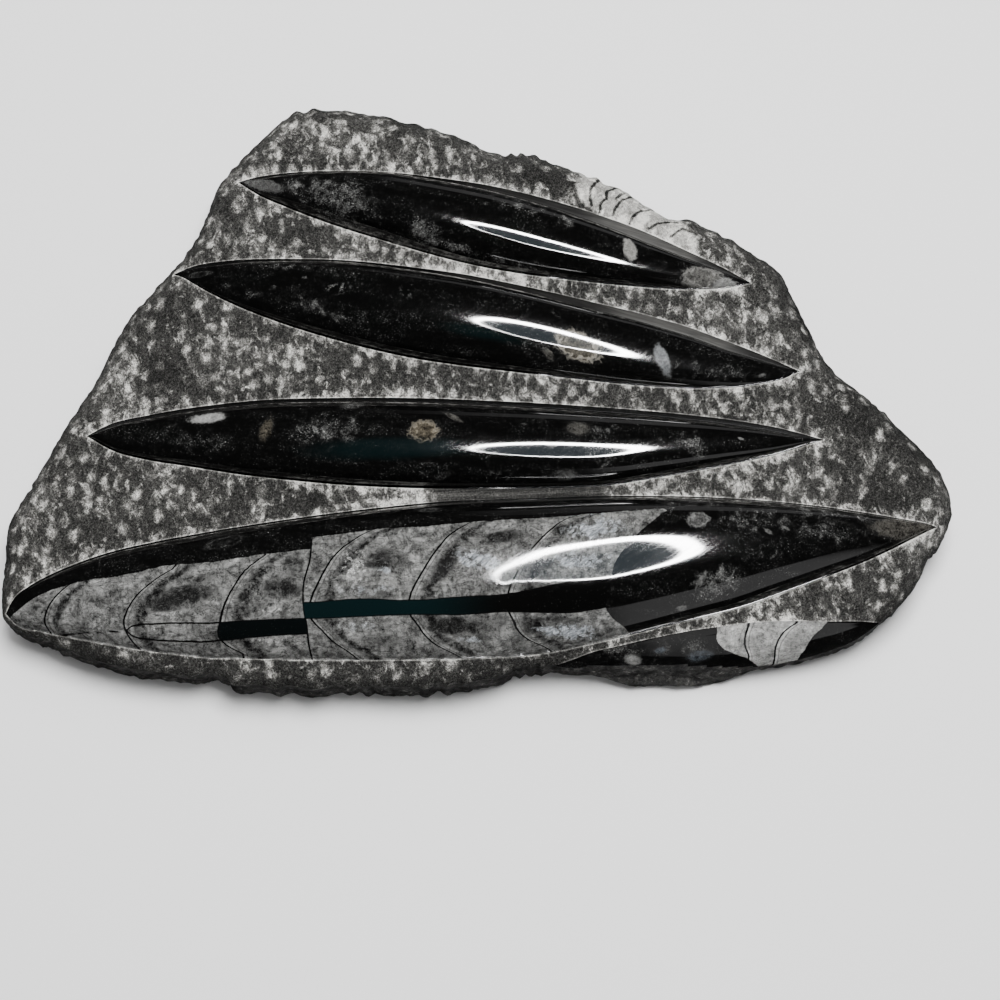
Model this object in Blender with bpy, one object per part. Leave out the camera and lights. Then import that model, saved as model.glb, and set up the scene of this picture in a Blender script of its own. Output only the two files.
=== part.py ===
"""An orthoceras plaque: one slab of black limestone, lying on its sawn back.

The face is dressed with a point chisel all over, except for the fossils. Each is ground into a long
pointed spindle that stands proud of the face, with a narrow groove round its foot. A fifth fossil
forms the slab's front right edge. Stone and fossils are one solid.

Sizes are in millimetres, turned into Blender's metres at the end. +X is to the right along the
fossils, +Y to the back, +Z out of the face, and the origin is under the middle of the slab.
"""

import math

import bmesh
import bpy
import numpy as np
from mathutils import Vector, noise
from mathutils.geometry import delaunay_2d_cdt

METRES = 0.001

# The slab
FACE_HEIGHT = 24.0  # the dressed face above the back
FACE_SWELL = 0.7  # how far the face rolls up and down
FACE_SWELL_LENGTH = 45.0
EDGE_WIDTH = 9.0  # the face rounds over towards the rim, over this width
EDGE_DROP = 7.0
RIM_SPACING = 4.6
WALL_RINGS = 5
WALL_UNDERCUT = 4.5  # how far the back is drawn in from the rim
FRONT_UNDERCUT = 0.8  # the front wall is nearly upright
WALL_ROUGHNESS = 1.1
WALL_LUMP = 7.0
SCALLOP_LENGTH = 8.5  # bites of the pitching tool along the back and front rims
SCALLOP_DEPTH = 1.0
LEDGE_REACH = 2.6  # rough foot that stays below the fossil in the front edge
LEDGE_ENDS = (38.0, 88.0)

# Chisel pits
PIT_SPACING = 3.9  # the least distance between two blows
PIT_BLOWS = 15000  # tries at placing one, enough to fill the face
PIT_DEPTH = 0.95
PIT_CLEARANCE = 1.6  # from a pit's middle to a cut edge
RIDGE_CLEARANCE = 0.8

# The rim seen from above, clockwise from the left corner.
RIM = (
    (-150.5, -60), (-150, -46), (-142.5, -31), (-134, -14), (-125, 2), (-116, 22), (-107, 34),
    (-98.3, 45), (-92.3, 56), (-88, 69), (-83, 77), (-74, 87), (-64.5, 96.5), (-56, 98.8),
    (-44, 98.3), (-29, 95.2), (-13.5, 91), (-4, 87.3), (4, 82.8), (16.5, 82.5), (24, 79.5),
    (37, 74.5), (47, 69.5), (61, 60.5), (70, 58.5), (81, 53), (91, 46.5), (98.5, 40.5), (102, 33),
    (105.5, 25), (109.5, 16), (113, 8.5), (119, 2.5), (128, -5.5), (137, -15), (145, -24.5),
    (149, -31), (151, -39), (150, -46), (146, -53.5), (142, -58), (140, -63), (134, -71.5),
    (126, -78), (117, -83.5), (106, -87), (94, -89.5), (81, -91.3), (63, -92.8), (44, -92.5),
    (34, -92), (24, -91.5), (12, -92.5), (5, -95.2), (-4, -97.2), (-20, -98.5), (-41, -98),
    (-50, -98.8), (-64, -98), (-76, -97), (-82, -94), (-90, -94.5), (-103, -93.5), (-117.5, -90.7),
    (-127, -87.7), (-137, -83.3), (-145.5, -80), (-150, -76), (-151, -68),
)  # fmt: skip

# Each spindle lies between two cuts, given from tip to tip as points of the face.
SPINDLES = {
    "first": {
        "back": ((-80, 69.3), (-73.5, 71.2), (-67, 72.3), (-54, 73.4), (-43.5, 73.6), (-27, 72.6),
                 (-13, 70.7), (3, 68), (20, 63.8), (41.5, 56.8), (52.5, 52.5), (69, 44.5),
                 (79, 39.4), (88.5, 33.7)),
        "front": ((-80, 69.3), (-73, 64.7), (-65, 61), (-54, 56.4), (-43, 52.3), (-32, 48.7),
                  (-18, 44.3), (-2, 40), (14, 36.8), (32, 34.4), (49, 32.7), (69, 31.6),
                  (82, 32.2), (88.5, 33.7)),
        "stations": 30, "crest": 8.5, "lean": 0.0, "groove": 2.4, "bank": (0.8, 2.4),
    },
    "second": {
        "back": ((-100.5, 38.1), (-92, 40.1), (-79, 41.9), (-63, 42.3), (-45.5, 41.8), (-22, 39.3),
                 (-6.5, 37.1), (17, 32), (35.5, 27.4), (54, 22.8), (68.5, 18.3), (78.5, 14.3),
                 (91, 9), (103.2, 3.3)),
        "front": ((-100.5, 38.1), (-89, 30.9), (-78, 25.3), (-68, 21.1), (-56.5, 17), (-45, 13.5),
                  (-33.5, 10.5), (-19, 7.4), (-6.5, 5.4), (6.5, 3.6), (32, 0.5), (51.5, -1.5),
                  (74.5, -2.4), (86.5, -1.6), (97.5, 0.7), (103.2, 3.3)),
        "stations": 36, "crest": 8.8, "lean": 0.05, "groove": 2.6, "bank": (0.9, 2.6),
    },
    "third": {
        "back": ((-125.5, -18.5), (-119, -14.8), (-106, -11.4), (-86, -8.1), (-74.5, -6.8),
                 (-45, -5.6), (-19, -5.6), (6.5, -6.8), (37, -8.7), (57.5, -10.3), (78, -12.6),
                 (95, -15.6), (110, -19.8)),
        "front": ((-125.5, -18.5), (-117, -23.3), (-105, -26.6), (-94, -28.4), (-76.5, -31.3),
                  (-59.5, -33.3), (-40, -35), (-22, -35.8), (0, -36), (22.5, -35.8), (40, -35),
                  (57, -32.3), (77.5, -28.4), (94, -24.8), (110, -19.8)),
        "stations": 40, "crest": 8.2, "lean": -0.08, "groove": 2.4, "bank": (0.8, 1.4),
    },
    "fourth": {
        "back": ((-148.8, -75.5), (-146.5, -72.3), (-141, -67.8), (-134.5, -64), (-127, -60.6),
                 (-117.5, -57.1), (-104, -53.7), (-88.5, -50.7), (-69, -47.4), (-50.5, -44.6),
                 (-29.5, -42), (-12.5, -40.3), (15, -39.2), (38.5, -38.4), (57, -38.3),
                 (76.5, -38.9), (97.5, -40.6), (117.5, -43.2), (132.5, -45.7), (145, -48)),
        "front": ((-148.8, -75.5), (-146.5, -78), (-136.5, -81.4), (-126, -84), (-115.5, -86.1),
                  (-105, -87.9), (-92, -89.5), (-80.5, -90.4), (-60, -91.1), (-39, -91.3),
                  (-18.5, -91.2), (0, -90.6), (14.5, -89.2), (30, -87), (43, -84.4), (56, -81.3),
                  (69, -78), (82, -74.6), (95, -70), (111, -64), (121.5, -59.8), (129.5, -56.1),
                  (137.5, -52), (145, -48)),
        "stations": 52, "crest": 12.5, "lean": 0.12, "groove": 3.0, "bank": (0.8, 0.8),
    },
}  # fmt: skip
SPINDLE_BULGE = 2.3  # powers of the round section: higher is boxier
SPINDLE_SHOULDER = 0.6
SECTION_STEPS = 7  # faces across a spindle, between its two grooves

# The fossil in the front edge: its back cut, and how far its flank drops to the rim.
EDGE_FOSSIL_CUT = (
    (24, -91.5), (29, -90.2), (35.5, -88.3), (43, -86.8), (52.5, -84.8), (61, -83), (68, -81.7),
    (76.5, -80.5), (87, -79.2), (95, -78.9), (109, -79), (126, -78),
)  # fmt: skip
EDGE_FOSSIL_DROP = 9.0
EDGE_FOSSIL_STEP = 0.7  # height of the cut
EDGE_FOSSIL_TUCK = 0.05  # share of the flank's width that the cut takes
EDGE_FOSSIL_ROWS = 5

STONE_COLOUR = (0.045, 0.045, 0.044, 1.0)
STONE_ROUGHNESS = 0.55


def clear_scene():
    for old in list(bpy.data.objects):
        bpy.data.objects.remove(old, do_unlink=True)


def wave(x, y, length, layer=0.0):
    """Smooth unevenness from about -1 to 1, with lumps of the given length."""
    return noise.noise(Vector((x / length, y / length, layer)))


def closed_curve(points, spacing):
    """Points at an even spacing on the smooth closed curve through the given ones."""
    knots = np.array(points, float)
    before, after, beyond = (np.roll(knots, shift, axis=0) for shift in (1, -1, -2))
    share = np.linspace(0, 1, 24, endpoint=False)[None, :, None]
    a, b, c, d = (k[:, None, :] for k in (before, knots, after, beyond))
    fine = 0.5 * (
        2 * b + (c - a) * share + (2 * a - 5 * b + 4 * c - d) * share**2
        + (3 * b - a - 3 * c + d) * share**3
    )  # fmt: skip
    fine = np.vstack([fine.reshape(-1, 2), knots[:1]])
    along = np.concatenate([[0], np.cumsum(np.linalg.norm(np.diff(fine, axis=0), axis=1))])
    count = round(along[-1] / spacing)
    wanted = np.linspace(0, along[-1], count, endpoint=False)
    return np.column_stack([np.interp(wanted, along, fine[:, axis]) for axis in (0, 1)])


def cut_line(points, x):
    """y of the smooth cut through the given points, at each x."""
    knot_x, knot_y = np.array(points, float).T
    slope = np.gradient(knot_y, knot_x)
    place = np.clip(np.searchsorted(knot_x, x) - 1, 0, len(knot_x) - 2)
    length = knot_x[place + 1] - knot_x[place]
    share = (x - knot_x[place]) / length
    return (
        (2 * share**3 - 3 * share**2 + 1) * knot_y[place]
        + (share**3 - 2 * share**2 + share) * length * slope[place]
        + (3 * share**2 - 2 * share**3) * knot_y[place + 1]
        + (share**3 - share**2) * length * slope[place + 1]
    )


def outward(loop):
    """Unit normals of a clockwise loop, pointing out of it."""
    along = np.roll(loop, -1, axis=0) - np.roll(loop, 1, axis=0)
    normal = np.column_stack([-along[:, 1], along[:, 0]])
    return normal / np.linalg.norm(normal, axis=1)[:, None]


def scalloped(loop, fixed):
    """The rim with the pitching tool's bites on its back and front, and the fixed points kept."""
    normal = outward(loop)
    along = np.arange(len(loop)) * RIM_SPACING
    bite = np.abs(np.sin(math.pi * along / SCALLOP_LENGTH))
    rough = np.clip(np.abs(normal[:, 1]) * 1.6 - 0.6, 0.1, 1)
    rough[fixed] = 0
    return loop + normal * (bite * rough * SCALLOP_DEPTH)[:, None]


def distance_to(loop, points):
    """Distance from each point to a closed loop."""
    start, end = loop, np.roll(loop, -1, axis=0)
    run = end - start
    nearest = np.full(len(points), np.inf)
    for p, r in zip(start, run):
        offset = points - p
        share = np.clip(offset @ r / (r @ r), 0, 1)
        nearest = np.minimum(nearest, np.linalg.norm(offset - share[:, None] * r, axis=1))
    return nearest


def inside(loop, points):
    """Whether each point lies in a closed loop."""
    crossings = np.zeros(len(points), bool)
    for p, q in zip(loop, np.roll(loop, -1, axis=0)):
        spans = (p[1] > points[:, 1]) != (q[1] > points[:, 1])
        if spans.any():
            reach = (q[0] - p[0]) * (points[:, 1] - p[1]) / (q[1] - p[1]) + p[0]
            crossings ^= spans & (points[:, 0] < reach)
    return crossings


class Stone:
    """The slab's vertices and faces, gathered piece by piece."""

    def __init__(self):
        self.points = []
        self.faces = []
        self.rim = None

    def add(self, points):
        """Stores points and returns their numbers."""
        first = len(self.points)
        self.points.extend(tuple(float(v) for v in p) for p in points)
        return list(range(first, len(self.points)))

    def level_height(self, x, y):
        """Height of the slab's face as it was sawn and rounded over at the rim."""
        share = np.clip(1 - distance_to(self.rim, np.column_stack([x, y])) / EDGE_WIDTH, 0, 1)
        return FACE_HEIGHT - EDGE_DROP * share**2

    def face_height(self, x, y):
        """Height of the dressed face before it is pitted."""
        swell = np.array([wave(px, py, FACE_SWELL_LENGTH) for px, py in zip(x, y)])
        return self.level_height(x, y) + FACE_SWELL * swell

    def skin(self, rows):
        """Joins rows of vertices, given from back to front, into faces that look up."""
        for row, following in zip(rows, rows[1:]):
            for a, b, c, d in zip(row, following, following[1:], row[1:]):
                corners = list(dict.fromkeys((a, b, c, d)))
                if len(corners) > 2:
                    self.faces.append(corners)


def spindle_section(across):
    """Height share of the round section, from 0 at its feet to 1 at the crest."""
    return (1 - abs(across) ** SPINDLE_BULGE) ** SPINDLE_SHOULDER


def add_spindle(stone, spec):
    """Adds one ground spindle and returns the loop of vertices where it meets the face."""
    left, right = spec["back"][0][0], spec["back"][-1][0]
    share = (1 - np.cos(np.linspace(0, math.pi, spec["stations"] + 1))) / 2
    x = left + (right - left) * share
    back, front = cut_line(spec["back"], x), cut_line(spec["front"], x)
    half = (back - front) / 2
    fullness = half / half.max()
    foot_drop = spec["groove"] * np.sqrt(fullness)
    bank = np.minimum(np.interp(share, (0.3, 0.8), spec["bank"]), 0.35 * half)
    front_bank = np.minimum(spec["bank"][0], 0.35 * half)
    back_z, front_z = stone.face_height(x, back), stone.face_height(x, front)
    crest = stone.level_height(x, (back + front) / 2) + spec["crest"] * fullness**0.9

    tips = stone.add([(x[0], back[0], back_z[0]), (x[-1], back[-1], back_z[-1])])
    body = slice(1, -1)
    rows = [stone.add(np.column_stack([x, back, back_z])[body])]
    for step in range(SECTION_STEPS + 1):
        across = math.cos(math.pi * step / SECTION_STEPS)
        level = (1 + across) / 2
        top, bottom = back - bank, front + front_bank
        y = bottom + (top - bottom) * level
        y += spec["lean"] * half * (1 - across**2)
        z = front_z + (back_z - front_z) * level - foot_drop
        z += (crest - z) * spindle_section(across)
        rows.append(stone.add(np.column_stack([x, y, z])[body]))
    rows.append(stone.add(np.column_stack([x, front, front_z])[body]))
    stone.skin([[tips[0], *row, tips[1]] for row in rows])
    return [tips[0], *rows[0], tips[1], *reversed(rows[-1])]


def add_edge_fossil(stone, rim_part):
    """Adds the fossil whose flank is the slab's front edge. rim_part runs from right to left."""
    lower = np.array([stone.points[i] for i in reversed(rim_part)])
    x = np.linspace(EDGE_FOSSIL_CUT[0][0], EDGE_FOSSIL_CUT[-1][0], len(lower))
    upper_y = cut_line(EDGE_FOSSIL_CUT, x)
    upper = np.column_stack([x, upper_y, stone.face_height(x, upper_y)])
    upper[0], upper[-1] = lower[0], lower[-1]

    body = slice(1, -1)
    rows = [stone.add(upper[body])]
    for step in range(EDGE_FOSSIL_ROWS):
        fall = step / EDGE_FOSSIL_ROWS
        level = math.sqrt(1 - fall**2)
        row = lower + (upper - lower) * (1 - EDGE_FOSSIL_TUCK) * (1 - fall)
        row[:, 2] = lower[:, 2] + (upper[:, 2] - EDGE_FOSSIL_STEP - lower[:, 2]) * level
        rows.append(stone.add(row[body]))
    left, right = rim_part[-1], rim_part[0]
    rows.append(list(reversed(rim_part))[body])
    stone.skin([[left, *row, right] for row in rows])
    return rows[0]


def pit_middles(outer, holes):
    """Middles of the chisel pits: blows at random, each kept where it doesn't meet an older one."""
    strikes = np.random.default_rng(7).uniform(outer.min(axis=0), outer.max(axis=0), (PIT_BLOWS, 2))
    strikes = on_ground(strikes, outer, holes, PIT_CLEARANCE)
    middles = strikes[:1]
    for strike in strikes[1:]:
        if np.linalg.norm(middles - strike, axis=1).min() > PIT_SPACING:
            middles = np.vstack([middles, strike])
    return middles


def on_ground(places, outer, holes, clearance):
    """The places that lie on the dressed face, at least the clearance from its cut edges."""
    kept = inside(outer, places) & (distance_to(outer, places) > clearance)
    for hole in holes:
        kept &= ~inside(hole, places) & (distance_to(hole, places) > clearance)
    return places[kept]


def triangulated(places, loops):
    """Triangles of the ground between the loops, the first of which is the outer one."""
    borders = [list(zip(loop, loop[1:] + loop[:1])) for loop in loops]
    edges = [edge for border in borders for edge in border]
    found = delaunay_2d_cdt([Vector(p) for p in places], edges, [], 0, 1e-6)
    triangles = np.array([face for face in found[2] if len(face) == 3])
    centres = np.array(places)[triangles].mean(axis=1)
    outer, *holes = [np.array([places[i] for i in loop]) for loop in loops]
    ground = inside(outer, centres)
    for hole in holes:
        ground &= ~inside(hole, centres)
    return triangles[ground], centres[ground]


def add_ground(stone, loops):
    """Adds the pitted face between the rim and the spindles."""
    edge_numbers = [i for loop in loops for i in loop]
    edge_places = [stone.points[i][:2] for i in edge_numbers]
    starts = np.cumsum([0] + [len(loop) for loop in loops])
    local = [list(range(a, b)) for a, b in zip(starts, starts[1:])]
    outlines = [np.array([stone.points[i][:2] for i in loop]) for loop in loops]

    middles = pit_middles(outlines[0], outlines[1:])
    rough = edge_places + [tuple(p) for p in middles]
    ridges = on_ground(triangulated(rough, local)[1], outlines[0], outlines[1:], RIDGE_CLEARANCE)
    places = rough + [tuple(p) for p in ridges]

    fresh = np.array(places[len(edge_places):])
    height = stone.face_height(fresh[:, 0], fresh[:, 1])
    height[: len(middles)] -= PIT_DEPTH
    numbers = edge_numbers + stone.add(np.column_stack([fresh, height]))
    triangles, _ = triangulated(places, local)
    for a, b, c in triangles:
        stone.faces.append([numbers[a], numbers[b], numbers[c]])


def add_wall(stone, rim_numbers):
    """Adds the rough wall below the rim, and the sawn back that closes it."""
    rim = np.array([stone.points[i] for i in rim_numbers])
    normal = outward(rim[:, :2])
    front = np.clip(-normal[:, 1] * 2 - 0.6, 0, 1)
    undercut = WALL_UNDERCUT + (FRONT_UNDERCUT - WALL_UNDERCUT) * front
    from_ends = np.minimum(rim[:, 0] - LEDGE_ENDS[0], LEDGE_ENDS[1] - rim[:, 0])
    ledge = LEDGE_REACH * front * np.clip(from_ends / 10, 0, 1)
    rings = [rim_numbers]
    for step in range(1, WALL_RINGS + 1):
        depth = step / WALL_RINGS
        lump = [wave(x + 40 * depth, y, WALL_LUMP, layer=3 * depth) for x, y, _ in rim]
        push = WALL_ROUGHNESS * np.array(lump) - undercut * depth**2 + ledge * min(1, 2 * depth)
        ring = rim[:, :2] + normal * push[:, None]
        rings.append(stone.add(np.column_stack([ring, rim[:, 2] * (1 - depth)])))
    for upper, lower in zip(rings, rings[1:]):
        for i in range(len(upper)):
            j = (i + 1) % len(upper)
            stone.faces.append([upper[j], lower[j], lower[i], upper[i]])
    stone.faces.append(list(rings[-1]))


def build_stone():
    """Lays out the rim, the fossils, the pitted ground between them, the wall and the back."""
    stone = Stone()
    loop = closed_curve(RIM, RIM_SPACING)
    right, left = (np.argmin(np.linalg.norm(loop - EDGE_FOSSIL_CUT[i], axis=1)) for i in (-1, 0))
    loop[right], loop[left] = EDGE_FOSSIL_CUT[-1], EDGE_FOSSIL_CUT[0]
    edge_part = np.arange(right, left + 1)
    stone.rim = scalloped(loop, edge_part)
    height = stone.face_height(*stone.rim.T)
    height[edge_part] -= EDGE_FOSSIL_DROP * np.sqrt(np.sin(np.linspace(0, math.pi, len(edge_part))))
    rim = stone.add(np.column_stack([stone.rim, height]))

    spindles = [add_spindle(stone, spec) for spec in SPINDLES.values()]
    cut = add_edge_fossil(stone, rim[right : left + 1])
    outer = rim[: right + 1] + list(reversed(cut)) + rim[left:]
    add_ground(stone, [outer, *spindles])
    add_wall(stone, rim)
    return stone


def stone_material():
    material = bpy.data.materials.new("black_limestone")
    material.use_nodes = True
    shader = material.node_tree.nodes["Principled BSDF"]
    shader.inputs["Base Color"].default_value = STONE_COLOUR
    shader.inputs["Roughness"].default_value = STONE_ROUGHNESS
    shader.inputs["Metallic"].default_value = 0.0
    return material


def make_object(stone, name):
    """Turns the gathered stone into a mesh object that sits with its middle over the origin."""
    points = np.array(stone.points)
    middle = (points.min(axis=0) + points.max(axis=0)) / 2
    points -= (middle[0], middle[1], 0)
    mesh = bpy.data.meshes.new(name)
    mesh.from_pydata((points * METRES).tolist(), [], stone.faces)
    shape = bmesh.new()
    shape.from_mesh(mesh)
    bmesh.ops.recalc_face_normals(shape, faces=shape.faces)
    shape.to_mesh(mesh)
    shape.free()
    mesh.shade_smooth()
    mesh.set_sharp_from_angle(angle=math.radians(25))
    mesh.materials.append(stone_material())
    plaque = bpy.data.objects.new(name, mesh)
    bpy.context.scene.collection.objects.link(plaque)
    return plaque


clear_scene()
make_object(build_stone(), "orthoceras_plaque")
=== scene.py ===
"""An orthoceras plaque: a slab of black limestone with five polished fossils in its dressed face.

The stone is built in millimetres, from its outline inwards, and is turned into metres when it becomes
a mesh. +X runs to the right along the fossils, +Y to the back and +Z out of the face.
"""

import math

import bmesh
import bpy
import numpy as np
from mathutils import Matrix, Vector, noise
from mathutils.geometry import delaunay_2d_cdt
from mathutils.kdtree import KDTree


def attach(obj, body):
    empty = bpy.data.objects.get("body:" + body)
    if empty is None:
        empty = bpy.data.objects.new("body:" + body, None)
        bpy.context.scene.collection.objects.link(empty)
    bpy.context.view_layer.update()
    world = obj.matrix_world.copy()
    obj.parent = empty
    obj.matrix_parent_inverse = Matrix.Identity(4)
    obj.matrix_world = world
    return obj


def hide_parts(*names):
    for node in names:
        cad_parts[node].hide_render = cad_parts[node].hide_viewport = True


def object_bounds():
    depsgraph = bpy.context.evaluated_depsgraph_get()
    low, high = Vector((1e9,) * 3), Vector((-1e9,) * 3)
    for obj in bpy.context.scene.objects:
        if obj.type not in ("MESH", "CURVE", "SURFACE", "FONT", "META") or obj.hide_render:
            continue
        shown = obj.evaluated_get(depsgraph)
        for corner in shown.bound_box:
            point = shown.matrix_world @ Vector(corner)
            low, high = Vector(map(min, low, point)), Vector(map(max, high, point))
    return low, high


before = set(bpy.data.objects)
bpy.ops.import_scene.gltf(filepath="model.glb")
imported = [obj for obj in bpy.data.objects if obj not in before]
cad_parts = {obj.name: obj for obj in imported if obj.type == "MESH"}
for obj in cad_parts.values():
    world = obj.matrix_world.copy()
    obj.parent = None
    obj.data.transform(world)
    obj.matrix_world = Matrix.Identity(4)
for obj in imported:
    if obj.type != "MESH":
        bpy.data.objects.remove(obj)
cad_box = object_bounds()

# ---- The slab's outline ----
# One slab of black limestone, split to this outline with a pitching tool, which left a row of small
# bites along the back and front. The face is nearly level and rounds over towards the rim.

METRES = 0.001
FACE_HEIGHT = 24.0
FACE_SWELL = 0.7
FACE_SWELL_LENGTH = 45.0
EDGE_WIDTH = 9.0
EDGE_DROP = 7.0
RIM_SPACING = 1.0
RIM_RAGGEDNESS = 0.3
BITE_LENGTH = 10.0
BITE_DEPTH = 1.3
BITE_DRIFT = 1.6
BITE_DRIFT_LENGTH = 15.0
BITE_STRENGTH = 0.6
BITE_LIMITS = (0.1, 1.3)
CHIP_LENGTH = 2.6
SPLINTER_LENGTH = 1.1
CURVE_STEPS = 24
GAP_STEP = 0.25

RIM = (
    (-150.5, -60), (-150, -46), (-142.5, -31), (-134, -14), (-125, 2), (-116, 22), (-107, 34), (-98.3, 45),
    (-92.3, 56), (-88, 69), (-83, 77), (-74, 87), (-64.5, 96.5), (-56, 98.8), (-44, 98.3), (-29, 95.2),
    (-13.5, 91), (-4, 87.3), (4, 82.8), (16.5, 82.5), (24, 79.5), (37, 74.5), (47, 69.5), (61, 60.5),
    (70, 58.5), (81, 53), (91, 46.5), (98.5, 40.5), (102, 33), (105.5, 25), (109.5, 16), (113, 8.5),
    (119, 2.5), (128, -5.5), (137, -15), (145, -24.5), (149, -31), (151, -39), (150, -46), (146, -53.5),
    (142, -58), (140, -63), (134, -71.5), (126, -78), (117, -83.5), (106, -87), (94, -89.5), (81, -91.3),
    (63, -92.8), (44, -92.5), (34, -92), (24, -91.5), (12, -92.5), (5, -95.2), (-4, -97.2), (-20, -98.5),
    (-41, -98), (-50, -98.8), (-64, -98.2), (-74, -98.6), (-77.6, -98.2), (-79.6, -95), (-83.5, -94.2),
    (-90, -94.5), (-103, -93.5), (-117.5, -90.7), (-127, -87.7), (-137, -83.3), (-145.5, -80), (-150, -76),
    (-151, -68),
)  # fmt: skip

stone_points = []
stone_faces = {"dressed": [], "polished": [], "groove": [], "side": [], "back": []}


def add_points(places):
    """Stores points of the stone and returns their numbers."""
    first = len(stone_points)
    stone_points.extend(tuple(float(v) for v in p) for p in places)
    return list(range(first, len(stone_points)))


def wave(x, y, length, layer=0.0):
    """Smooth unevenness from about -1 to 1, with lumps of the given length."""
    return noise.noise(Vector((x / length, y / length, layer)))


def closed_curve(points, spacing):
    """Points at an even spacing on the smooth closed curve through the given ones."""
    knots = np.array(points, float)
    before, after, beyond = (np.roll(knots, shift, axis=0) for shift in (1, -1, -2))
    share = np.linspace(0, 1, CURVE_STEPS, endpoint=False)[None, :, None]
    a, b, c, d = (k[:, None, :] for k in (before, knots, after, beyond))
    fine = 0.5 * (
        2 * b + (c - a) * share + (2 * a - 5 * b + 4 * c - d) * share**2
        + (3 * b - a - 3 * c + d) * share**3
    )  # fmt: skip
    fine = np.vstack([fine.reshape(-1, 2), knots[:1]])
    along = np.concatenate([[0], np.cumsum(np.linalg.norm(np.diff(fine, axis=0), axis=1))])
    count = round(along[-1] / spacing)
    wanted = np.linspace(0, along[-1], count, endpoint=False)
    return np.column_stack([np.interp(wanted, along, fine[:, axis]) for axis in (0, 1)])


def cut_line(points, x):
    """y of the smooth line through the given points, at each x."""
    knot_x, knot_y = np.array(points, float).T
    x = np.clip(x, knot_x[0], knot_x[-1])
    slope = np.gradient(knot_y, knot_x)
    place = np.clip(np.searchsorted(knot_x, x) - 1, 0, len(knot_x) - 2)
    length = knot_x[place + 1] - knot_x[place]
    share = (x - knot_x[place]) / length
    return (
        (2 * share**3 - 3 * share**2 + 1) * knot_y[place]
        + (share**3 - 2 * share**2 + share) * length * slope[place]
        + (3 * share**2 - 2 * share**3) * knot_y[place + 1]
        + (share**3 - share**2) * length * slope[place + 1]
    )


def outward(loop):
    """Unit normals of a clockwise loop, pointing out of it."""
    along = np.roll(loop, -1, axis=0) - np.roll(loop, 1, axis=0)
    normal = np.column_stack([-along[:, 1], along[:, 0]])
    return normal / np.linalg.norm(normal, axis=1)[:, None]


def gap_finder(loops):
    """A function that gives the distance from points to the nearest of these closed lines."""
    dense = []
    for loop in loops:
        for start, end in zip(loop, np.roll(loop, -1, axis=0)):
            steps = max(1, math.ceil(math.dist(start, end) / GAP_STEP))
            dense.extend(start + (end - start) * step / steps for step in range(steps))
    tree = KDTree(len(dense))
    for number, (x, y) in enumerate(dense):
        tree.insert((x, y, 0), number)
    tree.balance()
    return lambda places: np.array([tree.find((x, y, 0))[2] for x, y in places])


def inside(loop, places):
    """Whether each place lies in a closed loop."""
    crossings = np.zeros(len(places), bool)
    for p, q in zip(loop, np.roll(loop, -1, axis=0)):
        spans = (p[1] > places[:, 1]) != (q[1] > places[:, 1])
        if spans.any():
            reach = (q[0] - p[0]) * (places[:, 1] - p[1]) / (q[1] - p[1]) + p[0]
            crossings ^= spans & (places[:, 0] < reach)
    return crossings


def bitten(loop, fixed):
    """The rim with the pitching tool's bites on its back and front, and the fixed points kept."""
    normal = outward(loop)
    uneven = np.array([wave(x, y, BITE_DRIFT_LENGTH, 8) for x, y in loop])
    place = np.arange(len(loop)) * RIM_SPACING / BITE_LENGTH + BITE_DRIFT * uneven
    bite = np.sin(2 * math.pi * place)
    bite *= np.clip(BITE_STRENGTH + BITE_DRIFT * np.roll(uneven, 23), *BITE_LIMITS)
    # The bites are full where the rim runs along the back or front and fade round its ends.
    rough = np.clip(np.abs(normal[:, 1]) * 1.6 - 0.6, 0.12, 1)
    ragged = [wave(x, y, CHIP_LENGTH, 8) + 0.6 * wave(x, y, SPLINTER_LENGTH, 9) for x, y in loop]
    push = 0.5 * bite * rough * BITE_DEPTH + RIM_RAGGEDNESS * (np.array(ragged) - 0.1)
    push[fixed] = 0
    return loop + normal * push[:, None]


def level_height(x, y):
    """Height of the slab's face as it was sawn and rounded over at the rim."""
    share = np.clip(1 - rim_gap(np.column_stack([x, y])) / EDGE_WIDTH, 0, 1)
    return FACE_HEIGHT - EDGE_DROP * share**2


def face_height(x, y):
    """Height of the dressed face before it is pitted."""
    swell = np.array([wave(px, py, FACE_SWELL_LENGTH) for px, py in zip(x, y)])
    return level_height(x, y) + FACE_SWELL * swell


def skin(rows, finishes):
    """Joins rows of points, given from back to front, into faces that look up."""
    for row, following in zip(rows, rows[1:]):
        columns = [finishes] * len(row) if isinstance(finishes, str) else finishes
        for a, b, c, d, finish in zip(row, following, following[1:], row[1:], columns):
            corners = list(dict.fromkeys((a, b, c, d)))
            if len(corners) > 2:
                stone_faces[finish].append(corners)


# ---- The fossil in the front edge ----
# A fifth fossil lies in the slab's front edge. It is cut back from the face by a low step and its
# polished flank falls away to the rim, which is left rough along the middle.

EDGE_FOSSIL_CUT = (
    (24, -91.5), (29, -90.2), (35.5, -88.3), (43, -86.8), (52.5, -84.8), (61, -83), (68, -81.7),
    (76.5, -80.5), (87, -79.2), (95, -78.9), (109, -79), (126, -78),
)  # fmt: skip
EDGE_FOSSIL_DROP = 9.0
EDGE_FOSSIL_STEP = 0.7
EDGE_FOSSIL_TUCK = 0.05
EDGE_FOSSIL_ROWS = 14
EDGE_FOSSIL_START = 0.45
EDGE_FOSSIL_CHIP = 0.5
EDGE_FOSSIL_CHIP_LENGTH = 5.0
EDGE_FOSSIL_ROUGH_ENDS = ((33, 64), (32, 70), (31, 75), (30, 80), (28.5, 85), (27, 90))

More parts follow.
